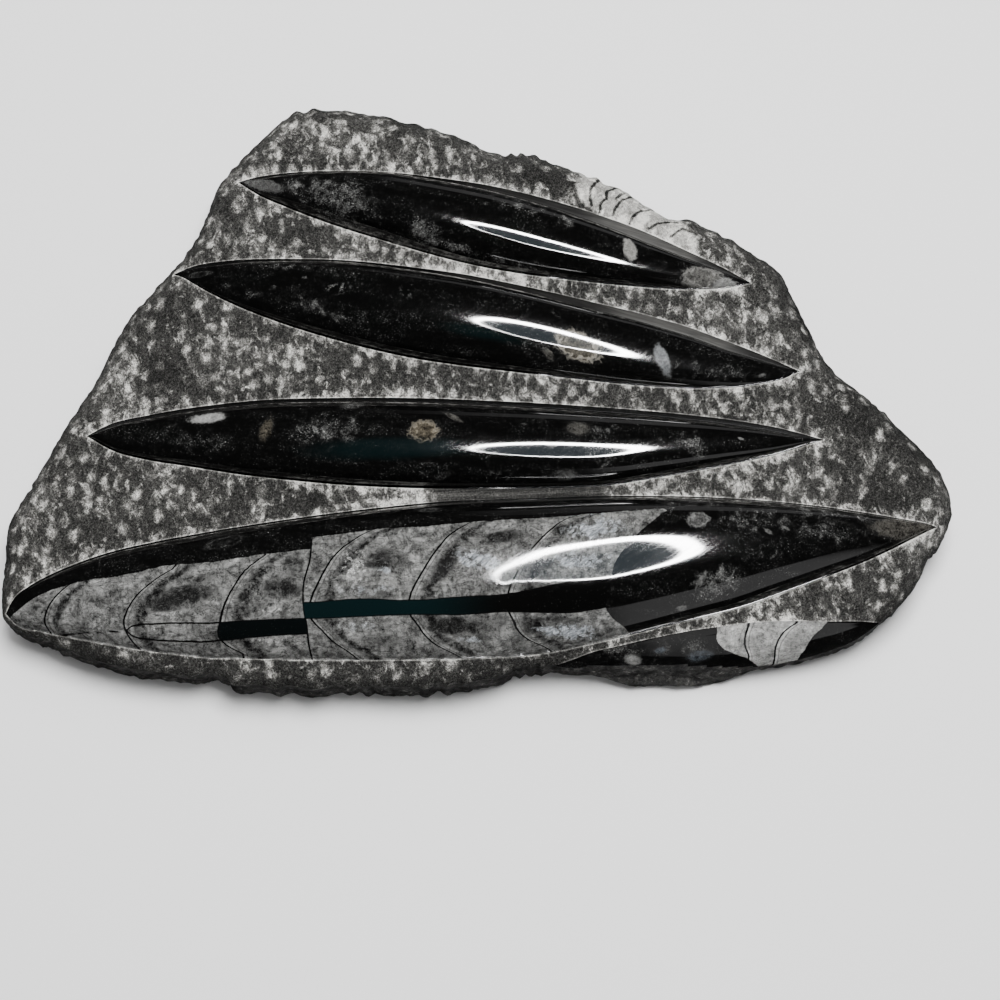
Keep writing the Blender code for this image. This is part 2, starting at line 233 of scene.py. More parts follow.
rim_line = closed_curve(RIM, RIM_SPACING)
edge_right, edge_left = (
    np.argmin(np.linalg.norm(rim_line - EDGE_FOSSIL_CUT[end], axis=1)) for end in (-1, 0)
)
rim_line[edge_right], rim_line[edge_left] = EDGE_FOSSIL_CUT[-1], EDGE_FOSSIL_CUT[0]
edge_part = np.arange(edge_right, edge_left + 1)
rim_line = bitten(rim_line, edge_part)
rim_gap = gap_finder([rim_line])

rim_height = face_height(*rim_line.T)
rim_height[edge_part] -= EDGE_FOSSIL_DROP * np.sqrt(np.sin(np.linspace(0, math.pi, len(edge_part))))
chips = [wave(x, y, EDGE_FOSSIL_CHIP_LENGTH, 2) for x, y in rim_line[edge_part]]
rim_height[edge_part] += EDGE_FOSSIL_CHIP * np.array(chips)
rim_height[[edge_right, edge_left]] = face_height(*rim_line[[edge_right, edge_left]].T)
rim = add_points(np.column_stack([rim_line, rim_height]))

edge_rim = rim[edge_right : edge_left + 1]
lower = np.array([stone_points[i] for i in reversed(edge_rim)])
x = np.linspace(EDGE_FOSSIL_CUT[0][0], EDGE_FOSSIL_CUT[-1][0], len(lower))
upper_y = cut_line(EDGE_FOSSIL_CUT, x)
upper = np.column_stack([x, upper_y, face_height(x, upper_y)])
upper[0], upper[-1] = lower[0], lower[-1]

body = slice(1, -1)
edge_rows = [add_points(upper[body])]
for step in range(EDGE_FOSSIL_ROWS):
    fall = 1 - (1 - step / EDGE_FOSSIL_ROWS) ** 2
    row = lower + (upper - lower) * (1 - EDGE_FOSSIL_TUCK) * (1 - fall)
    turn = EDGE_FOSSIL_START + (1 - EDGE_FOSSIL_START) * fall
    level = math.sqrt((1 - turn**2) / (1 - EDGE_FOSSIL_START**2))
    row[:, 2] = lower[:, 2] + (upper[:, 2] - EDGE_FOSSIL_STEP - lower[:, 2]) * level
    edge_rows.append(add_points(row[body]))
edge_rows.append(list(reversed(edge_rim))[body])
edge_grid = [[edge_rim[-1], *row, edge_rim[0]] for row in edge_rows]
smooth_rows = len(edge_grid) - len(EDGE_FOSSIL_ROUGH_ENDS)
skin(edge_grid[:smooth_rows], "polished")
for number, (start, end) in enumerate(EDGE_FOSSIL_ROUGH_ENDS, smooth_rows):
    finishes = ["side" if start < place < end else "polished" for place in x]
    skin(edge_grid[number - 1 : number + 1], finishes)

# ---- The four spindles ----
# Four fossils are ground out of the face with a disc, each a long pointed spindle that stands proud of
# a narrow groove. A steep bank leads from the groove up to the face. Fossil and bank are polished.

SPINDLES = {
    "first": {
        "back": ((-80, 69.3), (-73.5, 71.2), (-67, 72.3), (-54, 73.4), (-43.5, 73.6), (-27, 72.6),
                 (-13, 70.7), (3, 68), (20, 63.8), (41.5, 56.8), (52.5, 52.5), (69, 44.5),
                 (79, 39.4), (88.5, 33.7)),
        "front": ((-80, 69.3), (-73, 64.7), (-65, 61), (-54, 56.4), (-43, 52.3), (-32, 48.7),
                  (-18, 44.3), (-2, 40), (14, 36.8), (32, 34.4), (49, 32.7), (69, 31.6),
                  (82, 32.2), (88.5, 33.7)),
        "stations": 145, "steps": 24, "crest": 11.0, "peak": -29.6, "taper": (1.8, 1.2), "lean": 0.0,
        "section": (2.8, 0.6), "groove": (1.6, 0.6), "bank": (0.8, 3.4),
    },
    "second": {
        "back": ((-100.5, 38.1), (-92, 40.1), (-79, 41.9), (-63, 42.3), (-45.5, 41.8), (-22, 39.3),
                 (-6.5, 37.1), (17, 32), (35.5, 27.4), (54, 22.8), (68.5, 18.3), (78.5, 14.3),
                 (91, 9), (103.2, 3.3)),
        "front": ((-100.5, 38.1), (-89, 30.9), (-78, 25.3), (-68, 21.1), (-56.5, 17), (-45, 13.5),
                  (-33.5, 10.5), (-19, 7.4), (-6.5, 5.4), (6.5, 3.6), (32, 0.5), (51.5, -1.5),
                  (74.5, -2.4), (86.5, -1.6), (97.5, 0.7), (103.2, 3.3)),
        "stations": 175, "steps": 26, "crest": 9.5, "peak": -28.0, "taper": (2.2, 1.5), "lean": 0.15,
        "section": (2.8, 0.6), "groove": (1.8, 0.6), "bank": (0.9, 2.8),
    },
    "third": {
        "back": ((-125.5, -18.5), (-119, -14.8), (-106, -11.4), (-86, -8.1), (-74.5, -6.8),
                 (-45, -5.6), (-19, -5.6), (6.5, -6.8), (37, -8.7), (57.5, -10.3), (78, -12.6),
                 (95, -15.6), (110, -19.8)),
        "front": ((-125.5, -18.5), (-117, -23.3), (-105, -26.6), (-94, -28.4), (-76.5, -31.3),
                  (-59.5, -33.3), (-40, -35), (-22, -35.8), (0, -36), (22.5, -35.8), (40, -35),
                  (57, -32.3), (77.5, -28.4), (94, -24.8), (110, -19.8)),
        "stations": 200, "steps": 26, "crest": 8.2, "peak": -23.5, "taper": (2.2, 0.8), "lean": -0.08,
        "section": (2.3, 0.6), "groove": (1.2, 0.6), "bank": (0.8, 1.4),
    },
    "fourth": {
        "back": ((-148.8, -75.5), (-146.5, -72.3), (-141, -67.8), (-134.5, -64), (-127, -60.6),
                 (-117.5, -57.1), (-104, -53.7), (-88.5, -50.7), (-69, -47.4), (-50.5, -44.6),
                 (-29.5, -42), (-12.5, -40.3), (15, -39.2), (38.5, -38.4), (57, -38.3),
                 (76.5, -38.9), (97.5, -40.6), (117.5, -43.2), (132.5, -45.7), (145, -48)),
        "front": ((-148.8, -75.5), (-146.5, -78), (-136.5, -81.4), (-126, -84), (-115.5, -86.1),
                  (-105, -87.9), (-92, -89.5), (-80.5, -90.4), (-60, -91.1), (-39, -91.3),
                  (-18.5, -91.2), (0, -90.6), (14.5, -89.2), (30, -87), (43, -84.4), (56, -81.3),
                  (69, -78), (82, -74.6), (95, -70), (111, -64), (121.5, -59.8), (129.5, -56.1),
                  (137.5, -52), (145, -48)),
        "stations": 270, "steps": 42, "crest": 12.3, "peak": 32.0, "taper": (2.6, 0.9), "lean": 0.12,
        "section": (2.6, 0.65), "groove": (0.5, 0.15), "bank": (0.5, 0.5),
    },
}  # fmt: skip
BANK_STEPS = 4
BANK_CURVE = 0.8
BANK_ENDS = (0.3, 0.8)
BANK_LIMIT = 0.35
FRONT_BANK = 0.5
BANK_PALENESS = ((0.3, 0.55, 0.64, 0.74, 0.86, 0.95), (0, 1, 1, 2, 2, 1))
MATT_SHARE = 12
bank_rows = []


def add_spindle(spec):
    """Adds one ground spindle and returns the loop of points where it meets the face."""
    left, right = spec["back"][0][0], spec["back"][-1][0]
    share = (1 - np.cos(np.linspace(0, math.pi, spec["stations"] + 1))) / 2
    x = left + (right - left) * share
    back, front = cut_line(spec["back"], x), cut_line(spec["front"], x)
    half = (back - front) / 2
    fullness = half / half.max()
    back_drop, front_drop = (depth * np.sqrt(fullness) for depth in spec["groove"])
    bank = np.minimum(np.interp(share, BANK_ENDS, spec["bank"]), BANK_LIMIT * half)
    front_bank = np.minimum(FRONT_BANK, BANK_LIMIT * half)
    top, bottom = back - bank, front + front_bank
    back_z, front_z = face_height(x, back), face_height(x, front)
    from_peak = (x - spec["peak"]) / (np.where(x < spec["peak"], left, right) - spec["peak"])
    bend, taper = spec["taper"]
    bulge, shoulder = spec["section"]
    crest = level_height(x, (back + front) / 2) + spec["crest"] * (1 - from_peak**bend) ** taper

    tips = add_points([(x[0], back[0], back_z[0]), (x[-1], back[-1], back_z[-1])])
    rows = []
    for step in range(BANK_STEPS):
        down = step / BANK_STEPS
        z = back_z - back_drop * down**BANK_CURVE
        rows.append(add_points(np.column_stack([x, back - bank * down, z])[body]))
    for step in range(spec["steps"] + 1):
        across = math.cos(math.pi * step / spec["steps"])
        level = (1 + across) / 2
        y = bottom + (top - bottom) * level + spec["lean"] * half * (1 - across**2)
        z = (front_z - front_drop) * (1 - level) + (back_z - back_drop) * level
        z += (crest - z) * (1 - abs(across) ** bulge) ** shoulder
        rows.append(add_points(np.column_stack([x, y, z])[body]))
    for step in range(BANK_STEPS - 1, -1, -1):
        down = step / BANK_STEPS
        z = front_z - front_drop * down**BANK_CURVE
        rows.append(add_points(np.column_stack([x, front + front_bank * down, z])[body]))
    grid = [[tips[0], *row, tips[1]] for row in rows]
    # The bank and the foot of a deep groove stay matt, but only the upper half of a shallow one's bank.
    foot = BANK_STEPS + (spec["steps"] // MATT_SHARE if spec["groove"][0] > 1 else -2)
    skin(grid[: foot + 1], "groove")
    skin(grid[foot:], "polished")
    bank_rows.append((rows[: BANK_STEPS + 1], np.interp(share, *BANK_PALENESS)[body]))
    return [tips[0], *rows[0], tips[1], *reversed(rows[-1])]


spindle_loops = [add_spindle(spec) for spec in SPINDLES.values()]

# ---- The dressed face ----
# The stone between the fossils, left as a level ground for the point chisel. It is laid out as a fine
# even lattice that stops at the fossils' cut edges and at the rim.

LATTICE = 0.69
LATTICE_CLEARANCE = 0.33
LATTICE_SHIFT = 0.1
LATTICE_SEED = 3


def triangulated(places, loops):
    """Triangles of the ground between the loops, the first of which is the outer one."""
    borders = [list(zip(loop, loop[1:] + loop[:1])) for loop in loops]
    edges = [edge for border in borders for edge in border]
    found = delaunay_2d_cdt([Vector(p) for p in places], edges, [], 0, 1e-6)
    triangles = np.array([face for face in found[2] if len(face) == 3])
    centres = np.array(places)[triangles].mean(axis=1)
    outer, *holes = [np.array([places[i] for i in loop]) for loop in loops]
    ground = inside(outer, centres)
    for hole in holes:
        ground &= ~inside(hole, centres)
    return triangles[ground]


def lattice(outer, holes, spacing):
    """Places of an even lattice between the loops, each shifted a little at random."""
    low, high = outer.min(axis=0), outer.max(axis=0)
    rows = np.arange(low[1], high[1], spacing * math.sqrt(0.75))
    columns = np.arange(low[0], high[0], spacing)
    grid_x, grid_y = np.meshgrid(columns, rows)
    grid_x[::2] += spacing / 2
    places = np.column_stack([grid_x.ravel(), grid_y.ravel()])
    shift = np.random.default_rng(LATTICE_SEED).uniform(-1, 1, places.shape)
    places += shift * LATTICE_SHIFT * spacing / LATTICE
    kept = inside(outer, places)
    for hole in holes:
        kept &= ~inside(hole, places)
    places = places[kept]
    return places[gap_finder([outer, *holes])(places) > LATTICE_CLEARANCE * spacing / LATTICE]


face_rim = rim[: edge_right + 1] + list(reversed(edge_rows[0])) + rim[edge_left:]
face_loops = [face_rim, *spindle_loops]
outlines = [np.array([stone_points[i][:2] for i in loop]) for loop in face_loops]
loop_numbers = [i for loop in face_loops for i in loop]
fresh = lattice(outlines[0], outlines[1:], LATTICE)
fresh_numbers = add_points(np.column_stack([fresh, face_height(*fresh.T)]))
numbers = np.array(loop_numbers + fresh_numbers)
places = [stone_points[i][:2] for i in numbers]
starts = np.cumsum([0] + [len(loop) for loop in face_loops])
local_loops = [list(range(a, b)) for a, b in zip(starts, starts[1:])]
stone_faces["dressed"] = numbers[triangulated(places, local_loops)].tolist()

# ---- The side wall and the sawn back ----
# The wall is stone broken by the pitching tool: rough, lumpy and drawn in towards the back, with a rough
# foot left under the edge fossil. The back is sawn flat.

WALL_RINGS = 14
WALL_UNDERCUT = 4.5
FRONT_UNDERCUT = 0.8
WALL_ROUGHNESS = 1.1
WALL_LUMP = 7.0
WALL_CRUMB = 2.3
WALL_CRUMB_SHARE = 0.45
WALL_SKEW = 3.1
LEDGE_REACH = 2.6
LEDGE_ENDS = (38.0, 88.0)
LEDGE_FADE = 10.0
BACK_LATTICE = 5.0

rim_points = np.array([stone_points[i] for i in rim])
rim_normal = sum(np.roll(outward(rim_points[:, :2]), shift, axis=0) for shift in range(-4, 5))
rim_normal /= np.linalg.norm(rim_normal, axis=1)[:, None]
front = np.clip(-rim_normal[:, 1] * 2 - 0.6, 0, 1)
undercut = WALL_UNDERCUT + (FRONT_UNDERCUT - WALL_UNDERCUT) * front
from_ends = np.minimum(rim_points[:, 0] - LEDGE_ENDS[0], LEDGE_ENDS[1] - rim_points[:, 0])
ledge = LEDGE_REACH * front * np.clip(from_ends / LEDGE_FADE, 0, 1)
rings = [rim]
for step in range(1, WALL_RINGS + 1):
    depth = step / WALL_RINGS
    below = rim_points[:, 2] * (1 - depth)
    lump = [
        wave(x + WALL_SKEW * z, y, WALL_LUMP, layer=z / WALL_LUMP)
        + WALL_CRUMB_SHARE * noise.noise(Vector((x, y, z)) / WALL_CRUMB)
        for (x, y, _), z in zip(rim_points, below)
    ]
    push = WALL_ROUGHNESS * np.array(lump) * min(1, 3 * depth)
    push += ledge * min(1, 2 * depth) - undercut * depth**2
    ring = rim_points[:, :2] + rim_normal * push[:, None]
    rings.append(add_points(np.column_stack([ring, below])))
for upper_ring, lower_ring in zip(rings, rings[1:]):
    for i in range(len(rim)):
        j = (i + 1) % len(rim)
        stone_faces["side"].append([upper_ring[j], lower_ring[j], lower_ring[i], upper_ring[i]])

back_line = np.array([stone_points[i][:2] for i in rings[-1]])
back_fresh = lattice(back_line, [], BACK_LATTICE)
back_numbers = np.array(rings[-1] + add_points(np.column_stack([back_fresh, 0 * back_fresh[:, 0]])))
back_places = [stone_points[i][:2] for i in back_numbers]
back_faces = back_numbers[triangulated(back_places, [list(range(len(rim)))])]
stone_faces["back"] = back_faces[:, ::-1].tolist()

# ---- The fossil shells ----
# Cut lengthways by the polish, each big fossil shows a shell of grey calcite, split by thin curved
# walls into chambers, with a dark tube along its middle. A fault has shifted the main one's two blocks.

SHELL_TOP = {
    "left": ((-148, -77), (-146, -76.5), (-138.5, -72), (-125.5, -67.5), (-112.5, -66), (-97, -63),
             (-81.5, -62), (-67.5, -60), (-52, -58.5), (-45, -58)),
    "right": ((-58, -55), (-51.5, -54.5), (-36.5, -52.5), (-16, -51), (0.5, -49.5), (25.5, -48),
              (35.5, -47), (59, -45), (75, -43.5)),
}  # fmt: skip
SHELL_BOTTOM = {"left": ((-149, -97), (-45, -99)), "right": ((-60, -99), (60, -99))}
TUBE_TOP = {
    "left": ((-109.3, -82.8), (-108.3, -82), (-106.3, -81.3), (-101.6, -81.1), (-92.2, -81),
             (-79.4, -81), (-66.5, -80.5), (-45, -80)),
    "right": ((-60, -75.5), (-52.5, -75.5), (-36.5, -74.5), (-21, -75), (-5.5, -74), (9, -73),
              (26.5, -69.5), (42, -67.5), (60, -64)),
}  # fmt: skip
TUBE_BOTTOM = {
    "left": ((-109.3, -82.8), (-108.4, -83.6), (-105.7, -84.8), (-102.9, -85.2), (-92.9, -86),
             (-79.7, -85.9), (-67, -85), (-45, -84)),
    "right": ((-60, -80), (-52.5, -80), (-36.5, -79.5), (-21, -79), (-5.5, -79), (9, -78), (19, -78),
              (30, -78), (39.5, -76.5), (60, -75)),
}  # fmt: skip
# The fault and each chamber wall as (y, x) from the front up. A wall's place in its row is its number.
FAULT = (
    (-97, -51), (-90.2, -51.9), (-87.8, -52.4), (-82.7, -52.9), (-76.1, -54), (-69.8, -54), (-61.7, -52.2),
    (-55.5, -51.9), (-48, -51.9),
)  # fmt: skip
CHAMBER_WALLS = {
    "left": (
        ((-88, -133), (-81.7, -134.2), (-79.7, -135.3), (-76.6, -134.7), (-72.9, -132.6),
         (-69.2, -129), (-67.3, -126.3)),
        ((-89.6, -103.2), (-86.6, -106.7), (-83.6, -109.1), (-80.3, -110), (-76.2, -108.6),
         (-71.8, -105.5), (-68.4, -101.6), (-66.2, -98.5), (-63.7, -94)),
        ((-89.6, -73.1), (-87.5, -77.7), (-85.9, -79.7), (-80.3, -79.7), (-74.7, -78.1),
         (-69.6, -75.4), (-64.4, -71.8), (-60.1, -66.1)),
        ((-92, -40), (-84, -43), (-76, -44), (-68, -42), (-58, -34)),
    ),
    "right": (
        ((-91.4, -66.8), (-87, -74.4), (-80.6, -81.3), (-73.5, -81.3), (-67, -78.2), (-60.1, -74.1),
         (-56.4, -69.9), (-50.6, -57.6)),
        ((-93, -33.5), (-91.4, -36.8), (-89.5, -40), (-87, -44.4), (-84.1, -47.7), (-80.6, -51.3),
         (-73.5, -51.3), (-69.3, -49.4), (-64.6, -47.1), (-60.1, -44.1), (-56.4, -39.9),
         (-51.9, -31.9), (-50.6, -27.6)),
        ((-91, -3.9), (-89.5, -8.3), (-87.7, -12.9), (-85.3, -16.2), (-81.8, -19), (-79.5, -20.9),
         (-73, -20.8), (-67.9, -18.3), (-63.1, -15.6), (-58.1, -12.2), (-53.6, -8.3),
         (-49.9, -2.4), (-48.3, 1.6)),
        ((-88.7, 25.3), (-87.1, 20.7), (-85.7, 15.9), (-83.6, 12.5), (-80.2, 10.5), (-77.6, 9.1),
         (-72.9, 9.1), (-66.5, 11.8), (-62.2, 14), (-57.4, 17.7), (-53, 21.9), (-48.3, 28.7),
         (-46.9, 33.1)),
        ((-85.3, 51.7), (-84.2, 48.9), (-82.2, 46.2), (-79.1, 41.3), (-76.1, 39.4), (-72.5, 40),
         (-67.5, 41.2), (-62.6, 42.7), (-57.8, 46.2), (-53.6, 50), (-49.7, 54.5), (-46, 59),
         (-44.3, 63.2)),
    ),
}  # fmt: skip
FIRST_CHAMBER = 28.0
LAST_WALL = 7
WALL_SPACING = 22.0
FAR = 9.0
DRESSED_START = 0.3
DRESSED_FADE = 1.2
FRONT_FRINGE = 0.2
FRONT_FRINGE_END = 60.0
EDGE_SHELL = (
    (74.2, -80), (74.2, -82.3), (74.2, -84.7), (76.5, -86.9), (80.1, -88.1), (85, -89.2), (90.1, -91),
    (95.3, -91.5), (100.5, -90), (101.3, -87.6), (102.4, -86.5), (104.3, -83.2), (107, -81), (110, -78),
    (100, -78), (85, -78.5),
)  # fmt: skip
EDGE_WALLS = (
    ((-89, 71), (-80, 70)),
    ((-88.4, 84.9), (-85.9, 83.4), (-83.1, 83.3), (-80.4, 84.2)),
    ((-88.7, 93), (-86.5, 92.9), (-83.3, 94.2), (-81, 96.4), (-79.5, 99.2)),
    ((-88.2, 105), (-82.1, 108), (-79.4, 112)),
)

# Small fossils: middle, half length, half width, turn and tone, then for some their warmth (-1 blue to
# 1 brown) and rim tone.
SMALL_FOSSILS = (
    (-71.5, 67.4, 8.7, 2.3, -20, 0.42, 0, 0.1), (-6.2, 65.5, 6.1, 0.5, 0, 0.3),
    (-118.4, -61.2, 0.5, 4.1, 3, 0.3), (-91, 36.3, 5, 1.1, 5, 0.22, 0, 0.1),
    (-30.9, 64.6, 1.3, 1.1, 0, 0.1, 0, 0.3), (48.7, 43.8, 2.3, 4.4, 14, 0.66, 0.1, 0.15),
    (73, 34.9, 8, 4.2, -3, 0.45, 0.1, 0.25), (79, 33.2, 5.5, 2.6, 0, 0.6, 0, 0.2),
    (-66.6, 29.9, 1.6, 0.9, 10, 0.35), (-46.5, 19.6, 2.2, 1, -30, 0.3),
    (31.6, 9.9, 9.4, 4.8, -20, 0.44, 0.5, 0.42), (22, 7.2, 3.2, 1.2, -50, 0.36, 0.2),
    (58.6, 6.3, 2.5, 6.2, 24, 0.62, -0.2), (38.8, 21.9, 1.4, 0.8, -20, 0.55),
    (90.9, 1.8, 1.8, 0.7, 20, 0.45), (-86.2, -13.9, 6.8, 2.2, 6, 0.74),
    (-67.3, -18.2, 2.2, 5.2, -20, 0.34, 0.6), (-17.3, -19.3, 5.8, 4.2, 5, 0.36, 0.8, 0.3),
    (-40.5, -9.6, 4.8, 1.6, 8, 0.36), (-8.3, -14.2, 4.6, 1.2, -32, 0.34, 0.2),
    (14.5, -17.1, 2.2, 0.9, -10, 0.34), (31.3, -18, 4.6, 3, 0, 0.34, 0.2), (27.1, -32.7, 4.5, 1.7, 3, 0.34),
    (83, -20.5, 1.6, 0.6, -20, 0.5), (-11.5, -33, 3.5, 1.1, 15, 0.24),
    (-79, -55.2, 7.5, 2.4, 14, 0.15, 0, 0.18), (-15.5, -44.8, 4, 1.1, 5, 0.25, 0, 0.1),
    (68.3, -49.3, 4, 3.2, -10, 0.42, 0, 0.25), (90, -52.8, 2.1, 0.8, -30, 0.5),
    (95.6, -51.5, 1.8, 0.6, -25, 0.5), (102.6, -45, 1.7, 1.1, 0, 0.3), (68.9, -68, 1, 4.3, -32, 0.5),
    (63, -76, 2.6, 0.8, 12, 0.5), (65, -78.4, 2.6, 0.8, 0, 0.05, 0, 0.3),
    (133.5, -49.8, 12, 4.2, 2, 0.34, 0.3, 0.1), (48.1, -90.2, 3.2, 1.6, -8, 0.66),
    (56.7, -87.6, 2.6, 1, 15, 0.4, -0.6), (69.1, -88.7, 5, 1.7, 10, 0.36, -0.6),
)  # fmt: skip

# Soft patches: middle, half length, half width, turn, strength. They fade out past their edge.
PATCH_REACH = 1.5
PATCH_PEAK = 1.2
DARK_PATCHES = (
    (-92.4, -73.2, 10.5, 3.3, 12, 0.95), (-85.1, -67.4, 6.2, 1.6, 20, 0.6),
    (-60.2, -70.8, 6.5, 3.1, -5, 0.8), (-57.3, -63.9, 4, 4.5, 0, 0.55), (-71.9, -73.4, 2.8, 2.1, 0, 0.6),
    (-119.6, -73.3, 6.4, 1.5, -10, 0.5), (-130.7, -75.3, 2.6, 1.4, 0, 0.4),
    (-138.4, -75.3, 3.2, 2, 20, 0.4), (-84.6, -83.5, 8.7, 1.6, 0, 0.35), (-28.9, -62.2, 6.5, 3.5, 0, 0.75),
    (-29.5, -86.3, 8.1, 1.8, 0, 0.5), (-10, -63.5, 6.3, 2.8, 55, 0.9), (7.8, -55.1, 8.7, 2.1, 8, 0.85),
    (6.6, -69.4, 5.2, 1.8, 0, 0.8), (-5.7, -82.1, 10.5, 2.5, 0, 0.85), (6, -80.9, 3.4, 2.7, 60, 0.5),
    (25.8, -52.6, 3.9, 2.4, 30, 0.55), (20.5, -63.1, 5, 2.2, 20, 0.8), (22.7, -80.2, 9.9, 1.1, 0, 0.7),
    (14.9, -82.2, 1.9, 2.5, 30, 0.6), (43.5, -54.6, 5.3, 1.6, 60, 0.5), (34.4, -74.4, 6.8, 0.9, 0, 0.5),
    (-43.4, -86, 3.1, 1.7, 0, 0.25), (86.7, -84, 2.9, 2, 0, 0.5), (98, -83.8, 2.9, 2.4, 0, 0.5),
    (92, -81.9, 1.9, 1.2, 0, 0.4), (134.7, -41.4, 5.7, 4.6, 0, 0.5), (124.8, -14.9, 8.2, 5.3, -30, 0.4),
    (107.5, 19.7, 4.6, 9.6, -20, 0.5), (-50.4, -39.7, 3.8, 3, 0, 0.5), (19.8, 71.8, 13.2, 4.8, -10, 0.6),
    (-102.9, 3.9, 9.7, 6.8, 0, 0.5), (138, -26, 9, 13, 20, 0.5), (-104, 22, 5, 10, -30, 0.5),
)  # fmt: skip
LIGHT_PATCHES = (
    (-0.5, -62.3, 6.8, 3.1, -20, 1), (36.4, -52.6, 9.4, 3.5, 5, 0.8), (31.3, -62.4, 11.1, 2.6, 0, 0.8),
    (-2.1, -85.9, 5.3, 0.9, 0, 0.8), (27.4, -83, 10.6, 2, -3, 0.9), (-28.5, -65.7, 5, 0.9, 0, 0.7),
    (-37.7, -71.8, 15.4, 1.8, 0, 0.5), (-39, -82.5, 12.3, 1.4, 0, 0.5), (-62.7, -77.9, 8.3, 1.5, -3, 0.6),
    (-65.1, -86.4, 10.6, 1.3, -3, 0.55), (-93.6, -78.5, 9.4, 1.5, 0, 0.45),
    (-117.9, -80.2, 7.1, 2.9, 5, 0.4), (-44.3, -64, 2.8, 5.7, 60, 0.3), (30.9, -47.3, 8.7, 1.1, 4, 0.5),
    (83.6, 30.5, 7.1, 3.4, -10, 0.6), (-20, -40.8, 14.5, 2.5, 4, 0.8), (-40.8, -41.5, 9.5, 1.7, 8, 0.6),
    (-94.1, -37.5, 8.4, 2.9, -15, 0.6), (-83.6, -39.8, 5.1, 2.7, 0, 0.5), (-52, 86, 24, 9, -6, 0.55),
    (84, 21, 17, 7, -25, 0.5), (-75, 60, 9, 5, -40, 0.5), (124.3, -24.9, 4.1, 2.4, -35, 0.7),
    (122.2, -32.4, 2.6, 2, 0, 0.6), (86, -31.4, 12.7, 2.9, 0, 0.5), (82.7, -34.8, 6.3, 2.7, 0, 0.5),
    (-73.8, 54.2, 6.8, 3.5, -25, 0.55), (6.6, 36.7, 22.8, 2.6, -10, 0.6), (-116.9, 15.5, 3.4, 3.9, 0, 0.4),
)  # fmt: skip
MOTTLED_PATCHES = (
    (-47.6, 60.6, 13.4, 5.9, -20, 0.8), (-58.9, 64.5, 5.4, 2.9, -20, 0.7),
    (-17.8, 49.4, 5.6, 2.8, -40, 0.85), (-9, 44.3, 5.3, 1.2, -12, 0.7), (-26.2, 48.1, 9.9, 1.4, -10, 0.5),
    (6.6, 40.3, 19.6, 1.4, -12, 0.4), (74.8, -67.8, 8.7, 4.3, 20, 0.8), (82.9, -49.6, 8.2, 4.6, 0, 0.6),
    (69.4, -42.8, 12.7, 3.3, 0, 0.4), (101.5, -41.3, 12.8, 4.1, 0, 0.4), (66.7, -23.3, 5, 3.9, -40, 0.7),
    (-48, 21.4, 13, 3.4, -20, 0.45), (-74.2, 29.5, 10, 2.3, -20, 0.3), (22.6, 8.3, 16, 2.8, -10, 0.35),
    (0.3, -31.4, 18.9, 2, 0, 0.3), (77, 2.3, 12.9, 2.2, -5, 0.5), (-47.1, -19, 15.8, 4.9, 0, 0.5),
    (-88.2, -21.7, 12.8, 3.2, 0, 0.4), (51.4, -8.1, 19.3, 2, 0, 0.35), (38.2, -18.7, 9.5, 3, 0, 0.4),
    (43.9, -87.3, 12.5, 2.3, 0, 0.6), (87.4, -61.3, 9.5, 3, 0, 0.4), (103, -48, 24, 8, -3, 0.45),
    (60, -88, 14, 2.3, 5, 0.4), (18, 34, 16, 3, -10, 0.35), (-60, 36, 16, 4, -8, 0.3),
    (20, 56, 20, 4, -15, 0.35), (-95, -18, 14, 4, 5, 0.3), (45, -25, 16, 4, 5, 0.35),
)  # fmt: skip
PALE_FOSSIL = (
    (28, 82), (32.5, 74.5), (31.6, 66.8), (34.2, 60.8), (41.1, 55.9), (48.9, 52.4), (55.8, 49.7),
    (63.6, 45.9), (72, 42), (71.9, 49.9), (67.3, 56.6), (66, 64), (56, 72), (44, 80),
)  # fmt: skip
PALE_FOSSIL_WALLS = (
    ((39.5, 73), (38.5, 71), (36.5, 67.3), (36.3, 64.2), (36.8, 61)),
    ((45.5, 70.5), (44.5, 69.1), (41.9, 66.9), (41.7, 63.6), (39.8, 61.9), (39.5, 58.7)),
    ((48, 68), (46.6, 66.4), (44.9, 63.6)),
    ((50.5, 67), (49.5, 66), (47, 63.6), (44.8, 60.5), (43.7, 57.8)),
    ((58.5, 63), (56.6, 61.9), (52.4, 59.5), (50.2, 56.9), (49.1, 54.6)),
    ((65.3, 56.9), (61.9, 56.8), (59, 55.5), (55.5, 53)), ((70, 52), (66.5, 53.5), (62.5, 50)),
)  # fmt: skip
# Where the disc has rubbed the narrow ridge between the third and fourth spindles smooth.
RUBBED = ((-18, -30), (-18, -45), (44, -45), (44, -30))
RUBBED_FADE = 6.0
# Long thin crystals, and a teal sheen painted along the crests of the second and third spindles as a
# reflection in the black polish.
NEEDLE_PATCHES = (
    (-45.5, 28.5, 4.5, 2.2, 0, 1), (-22.6, 27.5, 3.5, 2.2, 0, 0.9), (-57, 33, 2, 1, 0, 0.8),
    (-38.5, -64, 4.5, 5.5, 20, 1), (-53, -72, 1.6, 2.6, 0, 0.8), (25, 20, 3, 1.2, -20, 0.6),
    (50, -16, 2, 1, 20, 0.6), (-100, -82.5, 2, 1.5, 0, 0.7), (60, -51, 3, 1.6, 0, 0.6),
)  # fmt: skip
TEAL_SHEEN_PATCHES = ((-28, -25, 24, 3.2, 1, 1), (2, 13.5, 14, 2.2, -10, 0.7))


def signed_gap(loop, places):
    """Distance to a closed line, positive inside it."""
    loop = np.array(loop, float)
    gap = gap_finder([loop])(places)
    return np.where(inside(loop, places), gap, -gap)


